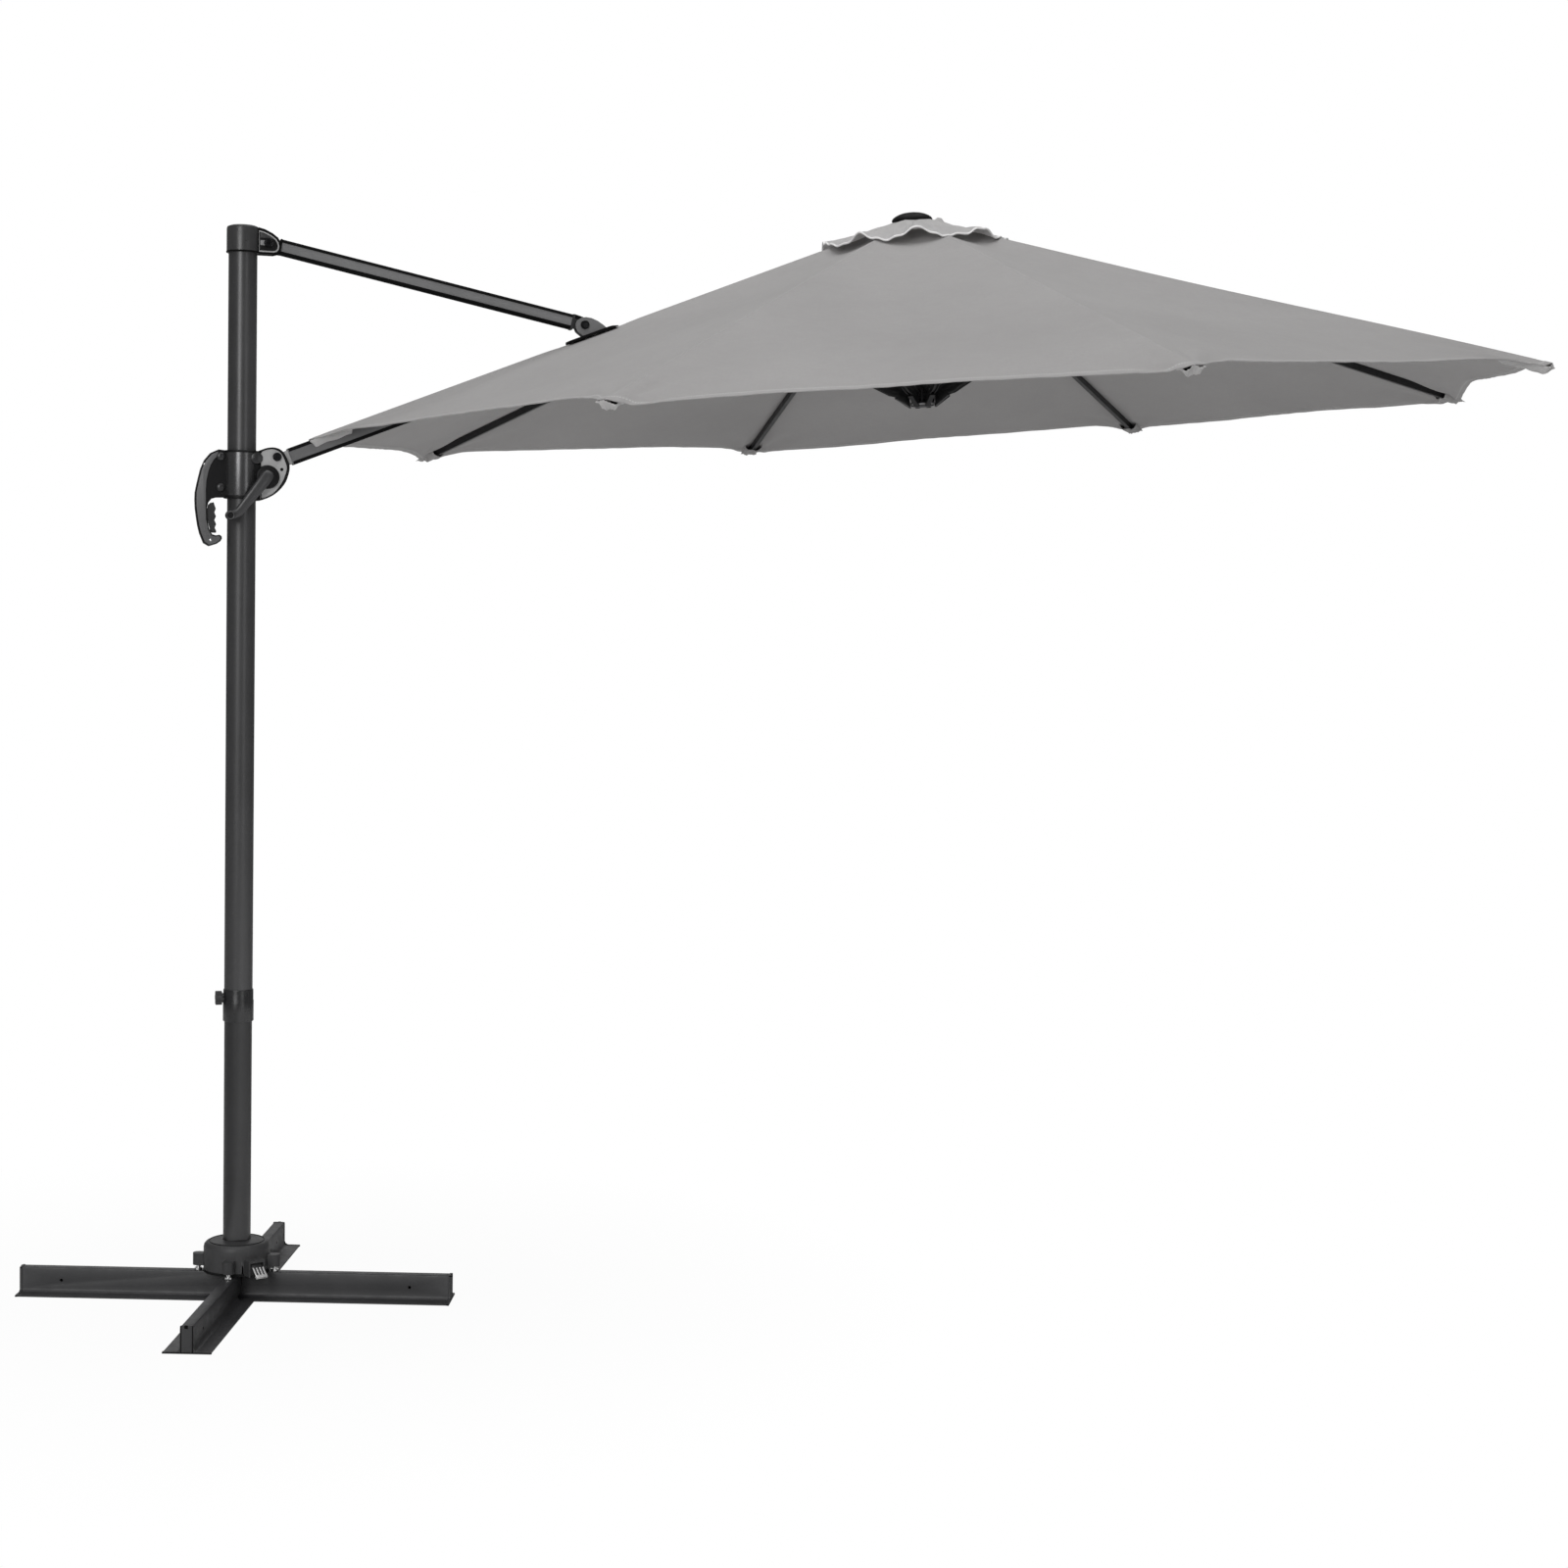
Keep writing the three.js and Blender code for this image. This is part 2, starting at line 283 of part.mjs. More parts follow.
// ribs 2 to 8; the arm takes the place of rib 1
const lineAt = (x, off) => [x * Math.cos(slope) + off * Math.sin(slope), -x * Math.sin(slope) + off * Math.cos(slope)];
function ribGeometry() {
  const L = RIB_END / Math.cos(slope);
  const jx = hX + J_A, jz = hZ - J_B;
  const g = cutUnion(
    [box(60, L, -RIB_W / 2, RIB_W / 2, -RIB_OFF - RIB_H / 2, -RIB_OFF + RIB_H / 2), cylY(8, -RIB_W / 2, RIB_W / 2, hX, hZ, 16), box(hX, 66, -RIB_W / 2, RIB_W / 2, hZ - 8, hZ + 8),
      plateXZ([[jx - 9, -16], [jx + 9, -16], [jx + 6, jz - 4], [jx + 2, jz - 6], [jx - 2, jz - 6], [jx - 6, jz - 4]], -7, -4.4),
      plateXZ([[jx - 9, -16], [jx + 9, -16], [jx + 6, jz - 4], [jx + 2, jz - 6], [jx - 2, jz - 6], [jx - 6, jz - 4]], 4.4, 7)],
    [box(72, L + 5, -RIB_W / 2 + RIB_WALL, RIB_W / 2 - RIB_WALL, -RIB_OFF - RIB_H / 2 + RIB_WALL, -RIB_OFF + RIB_H / 2 - RIB_WALL), cylY(3.2, -20, 20, hX, hZ, 12)]);
  return g.rotateY(slope);
}
function stretcherGeometry(jr, jz, w) {
  const dx = jr - RUNNER[0], dz = jz - RUNNER[1], L = Math.hypot(dx, dz), h = STR_H / 2;
  const g = union(cylY(h, -w / 2, w / 2, 0, 0, 14), box(0, L, -w / 2, w / 2, -h, h), cylY(h, -w / 2, w / 2, L, 0, 14));
  return g.rotateY(-Math.atan2(dz, dx)).translate(RUNNER[0], 0, RUNNER[1]);
}
const jRib = lineAt(hX + J_A, hZ - J_B), jArm = lineAt(hX + J1_A, hZ - J1_B);
for (let k = 1; k <= 8; k++) {
  const spoke = new THREE.Group();
  spoke.rotation.z = Math.PI - (k - 1) * Math.PI / 4;
  canopy.add(spoke);
  if (k > 1) piece(spoke, `rib_${k}`, ribGeometry(), paint());
  piece(spoke, `stretcher_${k}`, k > 1 ? stretcherGeometry(jRib[0], jRib[1], STR_W) : stretcherGeometry(jArm[0], jArm[1], STR_W), black());
  piece(spoke, `canopy_panel_${k}`, sector(R_VENT, R_RIM, 0, CLOTH), cloth());
}
// runner: plain core with a foot flange under the stretcher ends
piece(canopy, 'runner', lathe([[0, -446], [31, -446], [33.5, -444], [33.5, -439], [24, -437], [20, -434], [20, -400], [17, -397], [0, -397]], 28), darkPlastic());

export default parasol;
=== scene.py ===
import math

import bmesh
import bpy
from mathutils import Matrix, Vector


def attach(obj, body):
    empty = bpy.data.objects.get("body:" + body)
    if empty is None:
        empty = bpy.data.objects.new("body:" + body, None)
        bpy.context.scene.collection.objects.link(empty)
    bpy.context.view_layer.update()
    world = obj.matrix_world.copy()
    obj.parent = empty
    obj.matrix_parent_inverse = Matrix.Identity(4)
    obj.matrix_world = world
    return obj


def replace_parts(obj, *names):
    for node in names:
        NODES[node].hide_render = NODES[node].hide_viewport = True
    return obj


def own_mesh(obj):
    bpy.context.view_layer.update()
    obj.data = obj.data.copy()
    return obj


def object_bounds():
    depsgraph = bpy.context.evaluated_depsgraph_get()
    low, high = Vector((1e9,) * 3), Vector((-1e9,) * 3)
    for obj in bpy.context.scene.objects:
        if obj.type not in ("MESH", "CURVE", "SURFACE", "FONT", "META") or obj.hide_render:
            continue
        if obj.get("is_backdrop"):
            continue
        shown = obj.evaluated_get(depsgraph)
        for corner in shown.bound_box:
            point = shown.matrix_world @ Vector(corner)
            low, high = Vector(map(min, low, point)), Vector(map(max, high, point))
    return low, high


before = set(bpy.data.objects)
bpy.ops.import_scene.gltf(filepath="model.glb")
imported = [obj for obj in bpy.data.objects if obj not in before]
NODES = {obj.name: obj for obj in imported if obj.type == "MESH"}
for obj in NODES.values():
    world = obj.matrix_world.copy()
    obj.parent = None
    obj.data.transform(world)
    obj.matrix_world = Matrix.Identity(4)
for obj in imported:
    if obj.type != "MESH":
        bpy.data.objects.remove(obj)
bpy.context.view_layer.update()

# ------------------------------------------------------------------ frames and dimensions (mm in, metres out)
D2R = math.pi / 180
TAU = 4.28 * D2R
SLOPE = math.atan(482 / 1500)
ARM_ANGLE = SLOPE + TAU
APEX = Vector((1.6076, 0, 2.5637))
EX = Vector((math.cos(TAU), 0, math.sin(TAU)))
EY = Vector((0, 1, 0))
EZ = Vector((-math.sin(TAU), 0, math.cos(TAU)))
TAN = 482 / 1500
BASE_A = -18 * D2R
A_PIN, B_PIN, C_PIN = (54, 2409), (789.5, 2263.5), (75.5, 1929)
CRANK, GRIP = (54.6, 1883), (-32, 1793)


def spoke_az(k):
    return math.pi - (k - 1) * math.pi / 4


def spoke(k):
    """Maps a point of spoke k's own frame, in mm (out along the rib, across it, up from the apex), to the row frame."""
    az = spoke_az(k)
    e = EX * math.cos(az) + EY * math.sin(az)
    t = -EX * math.sin(az) + EY * math.cos(az)
    return lambda x, y, z: APEX + e * (x / 1000) + t * (y / 1000) + EZ * (z / 1000)


def rib_line(k):
    """Like spoke, with x along the ridge line and z square to it."""
    s = spoke(k)
    c, n = math.cos(SLOPE), math.sin(SLOPE)
    return lambda x, y, z: s(x * c + z * n, y, -x * n + z * c)


def base_p(x, y, z):
    c, s = math.cos(BASE_A), math.sin(BASE_A)
    return Vector(((x * c - y * s) / 1000, (x * s + y * c) / 1000, z / 1000))


def row_p(x, y, z):
    return Vector((x / 1000, y / 1000, z / 1000))


def arm_p(x, y, z):
    """x down the ridge line from the apex toward the mast, y across (camera side positive), z square to it."""
    c, s = math.cos(ARM_ANGLE), math.sin(ARM_ANGLE)
    return Vector((APEX.x + (-x * c - z * s) / 1000, -y / 1000, APEX.z + (-x * s + z * c) / 1000))


STRUT_A = math.atan2(A_PIN[1] - B_PIN[1], B_PIN[0] - A_PIN[0])


def strut_p(x, y, z):
    c, s = math.cos(STRUT_A), math.sin(STRUT_A)
    return Vector(((A_PIN[0] + x * c + z * s) / 1000, y / 1000, (A_PIN[1] - x * s + z * c) / 1000))


# ------------------------------------------------------------------ materials
class Tree:
    def __init__(self, name):
        self.m = bpy.data.materials.new(name)
        self.m.use_nodes = True
        self.t = self.m.node_tree
        self.t.nodes.clear()
        self.out = self.n("ShaderNodeOutputMaterial")
        self.b = self.n("ShaderNodeBsdfPrincipled")
        self.link(self.b.outputs[0], self.out.inputs["Surface"])

    def n(self, kind, **sets):
        node = self.t.nodes.new(kind)
        for k, v in sets.items():
            setattr(node, k, v)
        return node

    def link(self, a, b):
        self.t.links.new(a, b)

    def coord(self, scale=(1, 1, 1), uv=None):
        if uv:
            c = self.n("ShaderNodeUVMap", uv_map=uv).outputs[0]
        else:
            c = self.n("ShaderNodeTexCoord").outputs["Object"]
        mp = self.n("ShaderNodeMapping")
        mp.inputs["Scale"].default_value = scale
        self.link(c, mp.inputs["Vector"])
        return mp.outputs[0]

    def noise(self, scale, detail=3, rough=0.55, vec=None, stretch=(1, 1, 1)):
        x = self.n("ShaderNodeTexNoise")
        x.inputs["Scale"].default_value = scale
        x.inputs["Detail"].default_value = detail
        x.inputs["Roughness"].default_value = rough
        self.link(vec if vec is not None else self.coord(stretch), x.inputs["Vector"])
        return x.outputs["Fac"]

    def ramp(self, fac, stops):
        r = self.n("ShaderNodeValToRGB")
        e = r.color_ramp.elements
        while len(e) < len(stops):
            e.new(0.5)
        for el, (p, c) in zip(e, stops):
            el.position = p
            el.color = (*c, 1) if len(c) == 3 else c
        self.link(fac, r.inputs["Fac"])
        return r.outputs["Color"]

    def math(self, op, a, b=None, clamp=False):
        m = self.n("ShaderNodeMath", operation=op, use_clamp=clamp)
        for i, v in enumerate((a, b)):
            if v is None:
                continue
            if isinstance(v, (int, float)):
                m.inputs[i].default_value = v
            else:
                self.link(v, m.inputs[i])
        return m.outputs[0]

    def remap(self, v, lo, hi, a=0.0, b=1.0):
        m = self.n("ShaderNodeMapRange")
        m.inputs["From Min"].default_value = lo
        m.inputs["From Max"].default_value = hi
        m.inputs["To Min"].default_value = a
        m.inputs["To Max"].default_value = b
        self.link(v, m.inputs["Value"])
        return m.outputs[0]

    def mix(self, fac, a, b):
        m = self.n("ShaderNodeMix", data_type="RGBA")
        for s, v in ((m.inputs[0], fac), (m.inputs[6], a), (m.inputs[7], b)):
            if isinstance(v, (int, float)):
                s.default_value = v
            elif isinstance(v, tuple):
                s.default_value = (*v, 1) if len(v) == 3 else v
            else:
                self.link(v, s)
        return m.outputs[2]

    def bump(self, height, strength, distance, normal=None):
        b = self.n("ShaderNodeBump")
        b.inputs["Strength"].default_value = strength
        b.inputs["Distance"].default_value = distance
        self.link(height, b.inputs["Height"])
        if normal is not None:
            self.link(normal, b.inputs["Normal"])
        return b.outputs[0]

    def set(self, **v):
        for k, val in v.items():
            self.b.inputs[k.replace("_", " ")].default_value = val


def coated(name, dark, light, rough=(0.34, 0.46), metallic=0.0, grain=1400, grain_d=0.00012, streak=None, spec=0.5, coat=0.0, edges=None):
    """Powder-coated or painted metal: fine orange-peel grain, slow tone drift, light dust and rub marks.
    The last argument, a (CAD node, direction in the row frame) pair, paints shade: faces that look along that
    direction, up or down, are made near black."""
    t = Tree(name)
    slow = t.noise(5.5, 4, 0.6)
    col = t.ramp(slow, [(0.3, dark), (0.72, light)])
    specks = t.noise(420, 2, 0.5)
    col = t.mix(t.remap(specks, 0.62, 0.8, 0.0, 0.35), col, tuple(min(1, c * 1.9 + 0.01) for c in light))
    if edges:
        node, axis = edges
        local = NODES[node].matrix_world.inverted().to_3x3() @ Vector(axis)
        dot = t.n("ShaderNodeVectorMath", operation="DOT_PRODUCT")
        t.link(t.n("ShaderNodeTexCoord").outputs["Normal"], dot.inputs[0])
        dot.inputs[1].default_value = tuple(local.normalized())
        # painted shade: faces that look up or down along the given direction are mixed toward near black
        share = t.remap(t.math("ABSOLUTE", dot.outputs["Value"]), 0.45, 0.80, 0.0, 0.9)
        col = t.mix(share, col, (0.008, 0.008, 0.009))
    t.link(col, t.b.inputs["Base Color"])
    rub = t.noise(38, 5, 0.65, stretch=streak or (1, 1, 1))
    t.link(t.remap(rub, 0.3, 0.7, rough[0], rough[1]), t.b.inputs["Roughness"])
    peel = t.noise(grain, 2, 0.5)
    t.link(t.bump(peel, 0.35, grain_d), t.b.inputs["Normal"])
    t.set(Metallic=metallic, Specular_IOR_Level=spec, Coat_Weight=coat, Coat_Roughness=0.25)
    return t.m


def moulded(name, dark, light, rough=(0.42, 0.58), grain=950, depth=0.0002, spec=0.45):
    """Moulded plastic: spark-eroded grain, faint flow marks."""
    t = Tree(name)
    flow = t.noise(9, 3, 0.5, stretch=(1, 1, 0.35))
    t.link(t.ramp(flow, [(0.32, dark), (0.7, light)]), t.b.inputs["Base Color"])
    vor = t.n("ShaderNodeTexVoronoi")
    vor.inputs["Scale"].default_value = grain
    t.link(t.coord(), vor.inputs["Vector"])
    t.link(t.bump(vor.outputs["Distance"], 0.4, depth), t.b.inputs["Normal"])
    t.link(t.remap(t.noise(60, 4, 0.6), 0.3, 0.7, rough[0], rough[1]), t.b.inputs["Roughness"])
    t.set(Specular_IOR_Level=spec)
    return t.m


def plated(name, dark, light, rough=(0.16, 0.32), stretch=(1, 1, 12)):
    """Bright plated or brushed steel."""
    t = Tree(name)
    t.link(t.ramp(t.noise(60, 3, 0.6), [(0.3, dark), (0.7, light)]), t.b.inputs["Base Color"])
    t.link(t.remap(t.noise(300, 3, 0.6, stretch=stretch), 0.3, 0.7, rough[0], rough[1]), t.b.inputs["Roughness"])
    t.link(t.bump(t.noise(700, 2, 0.5, stretch=stretch), 0.2, 0.00005), t.b.inputs["Normal"])
    t.set(Metallic=1.0)
    return t.m


def cloth(name, dark, light, hem=False, thread=(0.46, 0.455, 0.452), lit=0.0):
    """Woven polyester: two crossed sets of threads, slub variation and soft sheen; stitch rows on hems and seams."""
    t = Tree(name)
    tone = t.noise(2.2, 4, 0.6)
    col = t.ramp(tone, [(0.3, dark), (0.7, light)])
    slub_a = t.noise(1, 2, 0.5, t.coord((1300, 60, 1), "Cloth"))
    slub_b = t.noise(1, 2, 0.5, t.coord((60, 1300, 1), "Cloth"))
    weave = t.math("ADD", slub_a, slub_b)
    shade = t.remap(weave, 0.75, 1.25, -0.5, 0.5)
    col = t.mix(t.remap(shade, -0.5, 0.5, 0.0, 0.45), col, tuple(c * 0.82 for c in dark))
    height = weave
    if hem:
        uv = t.n("ShaderNodeSeparateXYZ")
        t.link(t.n("ShaderNodeUVMap", uv_map="Stitch").outputs[0], uv.inputs[0])
        along, across = uv.outputs[0], uv.outputs[1]
        dash = t.math("LESS_THAN", t.math("FRACT", t.math("MULTIPLY", along, 210.0)), 0.66)
        row = t.math("LESS_THAN", t.math("ABSOLUTE", t.math("SUBTRACT", across, 0.5)), 0.06)
        stitch = t.math("MULTIPLY", dash, row)
        col = t.mix(t.math("MULTIPLY", stitch, 0.8), col, thread)
        height = t.math("ADD", weave, t.math("MULTIPLY", stitch, 1.6))
    t.link(col, t.b.inputs["Base Color"])
    t.link(t.bump(height, 0.35, 0.00035), t.b.inputs["Normal"])
    t.link(t.remap(t.noise(30, 3, 0.6), 0.3, 0.7, 0.82, 0.95), t.b.inputs["Roughness"])
    t.set(Specular_IOR_Level=0.25, Sheen_Weight=0.12, Sheen_Roughness=0.45)
    if lit:  # light passes through the single layer of cloth
        through, mixed = t.n("ShaderNodeBsdfTranslucent"), t.n("ShaderNodeMixShader")
        t.link(col, through.inputs[0])
        mixed.inputs[0].default_value = lit
        t.link(t.b.outputs[0], mixed.inputs[1])
        t.link(through.outputs[0], mixed.inputs[2])
        t.link(mixed.outputs[0], t.out.inputs["Surface"])
    return t.m


M = {
    "mast": coated("mast_paint", (0.046, 0.046, 0.047), (0.060, 0.060, 0.062), rough=(0.30, 0.40), metallic=0.35, streak=(1, 1, 0.15)),
    "steel": coated("base_paint", (0.026, 0.026, 0.028), (0.040, 0.040, 0.042), rough=(0.40, 0.54)),
    # the arm and strut tubes get painted shade, near black, on their faces that look up or down
    "arm": coated("arm_paint", (0.125, 0.125, 0.127), (0.155, 0.155, 0.158), rough=(0.32, 0.42), metallic=0.4, edges=("arm_tube", (-math.sin(ARM_ANGLE), 0, math.cos(ARM_ANGLE)))),
    "strut": coated("strut_paint", (0.185, 0.185, 0.187), (0.225, 0.225, 0.228), rough=(0.32, 0.42), metallic=0.4, edges=("strut_tube", (math.sin(STRUT_A), 0, math.cos(STRUT_A)))),
    "rib": coated("rib_paint", (0.010, 0.010, 0.011), (0.018, 0.018, 0.019), rough=(0.36, 0.48), metallic=0.2),
    "plastic": moulded("dark_plastic", (0.013, 0.013, 0.014), (0.022, 0.022, 0.023)),
    "plastic_base": moulded("base_plastic", (0.03648, 0.03648, 0.03806), (0.05392, 0.05392, 0.05551), rough=(0.42, 0.56)),
    "slider": moulded("slider_plastic", (0.012, 0.012, 0.013), (0.020, 0.020, 0.021), rough=(0.24, 0.34)),
    "grip_band": moulded("grip_band_plastic", (0.075, 0.075, 0.077), (0.105, 0.105, 0.107), rough=(0.32, 0.44)),
    "cover": coated("cover_paint", (0.34, 0.34, 0.34), (0.44, 0.44, 0.44), rough=(0.34, 0.44), metallic=0.3, grain=1100),
    "bracket": coated("bracket_paint", (0.155, 0.155, 0.157), (0.20, 0.20, 0.203), rough=(0.34, 0.44), metallic=0.4),
    "bolt": plated("black_bolt", (0.012, 0.012, 0.013), (0.028, 0.028, 0.030), rough=(0.28, 0.42), stretch=(1, 1, 1)),
    "lower": coated("lower_mast_paint", (0.018, 0.018, 0.019), (0.026, 0.026, 0.027), rough=(0.32, 0.42), metallic=0.2, streak=(1, 1, 0.15)),
    # chrome treads: only half metallic, with a light diffuse colour, so their brightness is a painted reflection
    "chrome": coated("chrome_tread_painted_reflection", (0.72, 0.72, 0.72), (0.86, 0.86, 0.86), rough=(0.18, 0.28), metallic=0.5, grain=700),
    "zinc": plated("zinc_steel", (0.70, 0.70, 0.70), (0.92, 0.92, 0.92)),
    "slider_dark": moulded("slider_dark_plastic", (0.0040, 0.0040, 0.0043), (0.0075, 0.0075, 0.008), rough=(0.42, 0.54), spec=0.16),
    # near-black, nearly matt paint for the nose edges, strut collar, strut end cap and bracket foot; on the strips
    # along the arm and strut tubes it is painted shade
    "edge": coated("black_paint_and_edge_shade", (0.0035, 0.0035, 0.0037), (0.0060, 0.0060, 0.0063), rough=(0.62, 0.74), spec=0.06),
    "channel": coated("channel_paint", (0.0050, 0.0050, 0.0053), (0.0095, 0.0095, 0.010), rough=(0.34, 0.46), spec=0.30),
    "sleeve": coated("sleeve_paint", (0.080, 0.080, 0.082), (0.105, 0.105, 0.107), rough=(0.22, 0.30), metallic=0.75, streak=(1, 1, 0.15)),
    "cap": moulded("cap_plastic", (0.030, 0.030, 0.031), (0.044, 0.044, 0.045), rough=(0.26, 0.36)),
    "crank": coated("crank_paint", (0.040, 0.040, 0.041), (0.058, 0.058, 0.060), rough=(0.30, 0.40), metallic=0.35),
    "bright": plated("bright_steel", (0.60, 0.60, 0.60), (0.80, 0.80, 0.80), rough=(0.2, 0.34), stretch=(1, 1, 1)),
    "dome": moulded("dome_plastic", (0.005, 0.005, 0.005), (0.009, 0.009, 0.009), rough=(0.50, 0.62), spec=0.10),
    # near-black matt stand-in for shade: painted shade in the beam-cap notches, along the mast cap's lower edge and in
    # the crank cover's hole
    "recess": moulded("painted_recess_shade", (0.002, 0.002, 0.002), (0.005, 0.005, 0.005), rough=(0.8, 0.95), spec=0.1),
    "cloth": cloth("canopy_cloth_weave", (0.295, 0.288, 0.287), (0.335, 0.327, 0.326)),
    "hem": cloth("canopy_hem_weave", (0.305, 0.299, 0.298), (0.350, 0.343, 0.342), hem=True),
    "seam": cloth("canopy_seam_weave", (0.300, 0.293, 0.292), (0.338, 0.330, 0.329), hem=True, thread=(0.36, 0.355, 0.352)),
    # vent flap cloth: a lighter copy of the canopy cloth, so part of the flap's brightness, and of the light in the gap
    # under it, is painted light; the rest is real light through the thin cloth
    "flap": cloth("canopy_flap_painted_light_weave", (0.62, 0.612, 0.61), (0.76, 0.752, 0.75), lit=0.45),
    "piping": cloth("canopy_piping_weave", (0.82, 0.815, 0.812), (0.90, 0.895, 0.892)),
}


# ------------------------------------------------------------------ mesh helpers
def mesh_object(name, verts, faces, mat, body, slot=None, smooth=True, sharp=32, uvs=None, recalc=True):
    me = bpy.data.meshes.new(name)
    me.from_pydata([tuple(v) for v in verts], [], faces)
    me.update()
    if recalc:
        bm = bmesh.new()
        bm.from_mesh(me)
        bmesh.ops.recalc_face_normals(bm, faces=bm.faces)
        bm.to_mesh(me)
        bm.free()
    for p in me.polygons:
        p.use_smooth = smooth
    if smooth and sharp:
        me.set_sharp_from_angle(angle=sharp * D2R)
    for uv_name, values in (uvs or {}).items():
        layer = me.uv_layers.new(name=uv_name)
        for loop in me.loops:
            layer.data[loop.index].uv = values[loop.vertex_index]
    o = bpy.data.objects.new(name, me)
    bpy.context.scene.collection.objects.link(o)
    me.materials.append(M[mat] if isinstance(mat, str) else mat)
    if body:
        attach(o, body)
    return o


class Build:
    """Collects closed solids into one mesh, each point passed through a mapping to the row frame."""

    def __init__(self, f):
        self.f, self.v, self.q = f, [], []

    def add(self, verts, faces):
        o = len(self.v)
        self.v += [self.f(*p) for p in verts]
        self.q += [tuple(i + o for i in q) for q in faces]
        return self

    def rings(self, rings, cap=True):
        n, verts, faces = len(rings[0]), [p for r in rings for p in r], []
        for i in range(len(rings) - 1):
            for j in range(n):
                a, b = i * n + j, i * n + (j + 1) % n
                faces.append((a, b, b + n, a + n))
        if cap:
            faces.append(tuple(range(n))[::-1])
            faces.append(tuple((len(rings) - 1) * n + j for j in range(n)))
        return self.add(verts, faces)

    def turned(self, profile, centre, axis="z", n=40):
        """profile is (radius, height) pairs along the axis through centre; ends are capped."""
        out = []
        for r, h in profile:
            ring = []
            for j in range(n):
                a = 2 * math.pi * j / n
                c, s = max(r, 0.02) * math.cos(a), max(r, 0.02) * math.sin(a)
                ring.append({"z": (centre[0] + c, centre[1] + s, centre[2] + h), "y": (centre[0] + c, centre[1] + h, centre[2] + s), "x": (centre[0] + h, centre[1] + c, centre[2] + s)}[axis])
            out.append(ring)
        return self.rings(out)

    def plate(self, outline, y0, y1, edge=1.2):
        """An XZ outline, thick from y0 to y1, with bevelled rims."""
        def inset(pts, d):
            n, out = len(pts), []
            area = sum(pts[i][0] * pts[(i + 1) % n][1] - pts[(i + 1) % n][0] * pts[i][1] for i in range(n))
            sign = 1 if area > 0 else -1
            for i in range(n):
                p, a, b = Vector(pts[i]), Vector(pts[i - 1]), Vector(pts[(i + 1) % n])
                d1, d2 = (p - a).normalized(), (b - p).normalized()
                n1, n2 = Vector((-d1.y, d1.x)) * sign, Vector((-d2.y, d2.x)) * sign
                m = (n1 + n2)
                m = m / max(m.length, 1e-6)
                out.append(tuple(p + m * d / max(0.5, m.dot(n1))))
            return out
        s = 1 if y1 > y0 else -1
        small = inset(outline, edge)
        mid = inset(outline, edge * 0.3)
        layers = [(small, y0), (mid, y0 + s * edge * 0.3), (outline, y0 + s * edge), (outline, y1 - s * edge), (mid, y1 - s * edge * 0.3), (small, y1)]
        return self.rings([[(x, y, z) for x, z in pts] for pts, y in layers])

    def block(self, x0, x1, y0, y1, z0, z1, e=0.8):
        out = []
        for z, d in ((z0, e), (z0 + e, 0), (z1 - e, 0), (z1, e)):
            ring = []
            for cx, cy, a0 in ((x1, y1, 0), (x0, y1, 90), (x0, y0, 180), (x1, y0, 270)):
                sx, sy = (-1 if cx == x1 else 1), (-1 if cy == y1 else 1)
                r = max(e * 1.5 - d, 0.05)
                for a in (0, 45, 90):
                    t = (a0 + a) * D2R
                    ring.append((cx + sx * (r + d) + r * math.cos(t), cy + sy * (r + d) + r * math.sin(t), z))
            out.append(ring)
        return self.rings(out)

    def hoop(self, profile, centre, axis="z", n=48):
        """A closed profile of (radius, height) pairs swept once round the axis."""
        verts, m = [], len(profile)
        for r, h in profile:
            for j in range(n):
                a = 2 * math.pi * j / n
                c, s = r * math.cos(a), r * math.sin(a)
                verts.append({"z": (centre[0] + c, centre[1] + s, centre[2] + h), "y": (centre[0] + c, centre[1] + h, centre[2] + s), "x": (centre[0] + h, centre[1] + c, centre[2] + s)}[axis])
        faces = []
        for i in range(m):
            for j in range(n):
                a, b = i * n + j, i * n + (j + 1) % n
                c, d = ((i + 1) % m) * n + j, ((i + 1) % m) * n + (j + 1) % n
                faces.append((a, b, d, c))
        return self.add(verts, faces)

    def frame(self, outer, inner, y0, y1, e=0.7):
        """A flat frame between two XZ outlines with the same number of points, from y0 to y1, its front edges eased."""
        n, s = len(outer), 1 if y1 > y0 else -1
        mid = [((a[0] + b[0]) / 2, (a[1] + b[1]) / 2) for a, b in zip(outer, inner)]
        ease = lambda pts: [(x + (mx - x) * 0.25, z + (mz - z) * 0.25) for (x, z), (mx, mz) in zip(pts, mid)]
        loops = [(outer, y0), (outer, y1 - s * e), (ease(outer), y1), (ease(inner), y1), (inner, y1 - s * e), (inner, y0)]
        verts = [(x, y, z) for pts, y in loops for x, z in pts]
        faces = []
        for i in range(len(loops)):
            for j in range(n):
                a, b = i * n + j, i * n + (j + 1) % n
                c, d = ((i + 1) % len(loops)) * n + j, ((i + 1) % len(loops)) * n + (j + 1) % n
                faces.append((a, b, d, c))
        return self.add(verts, faces)

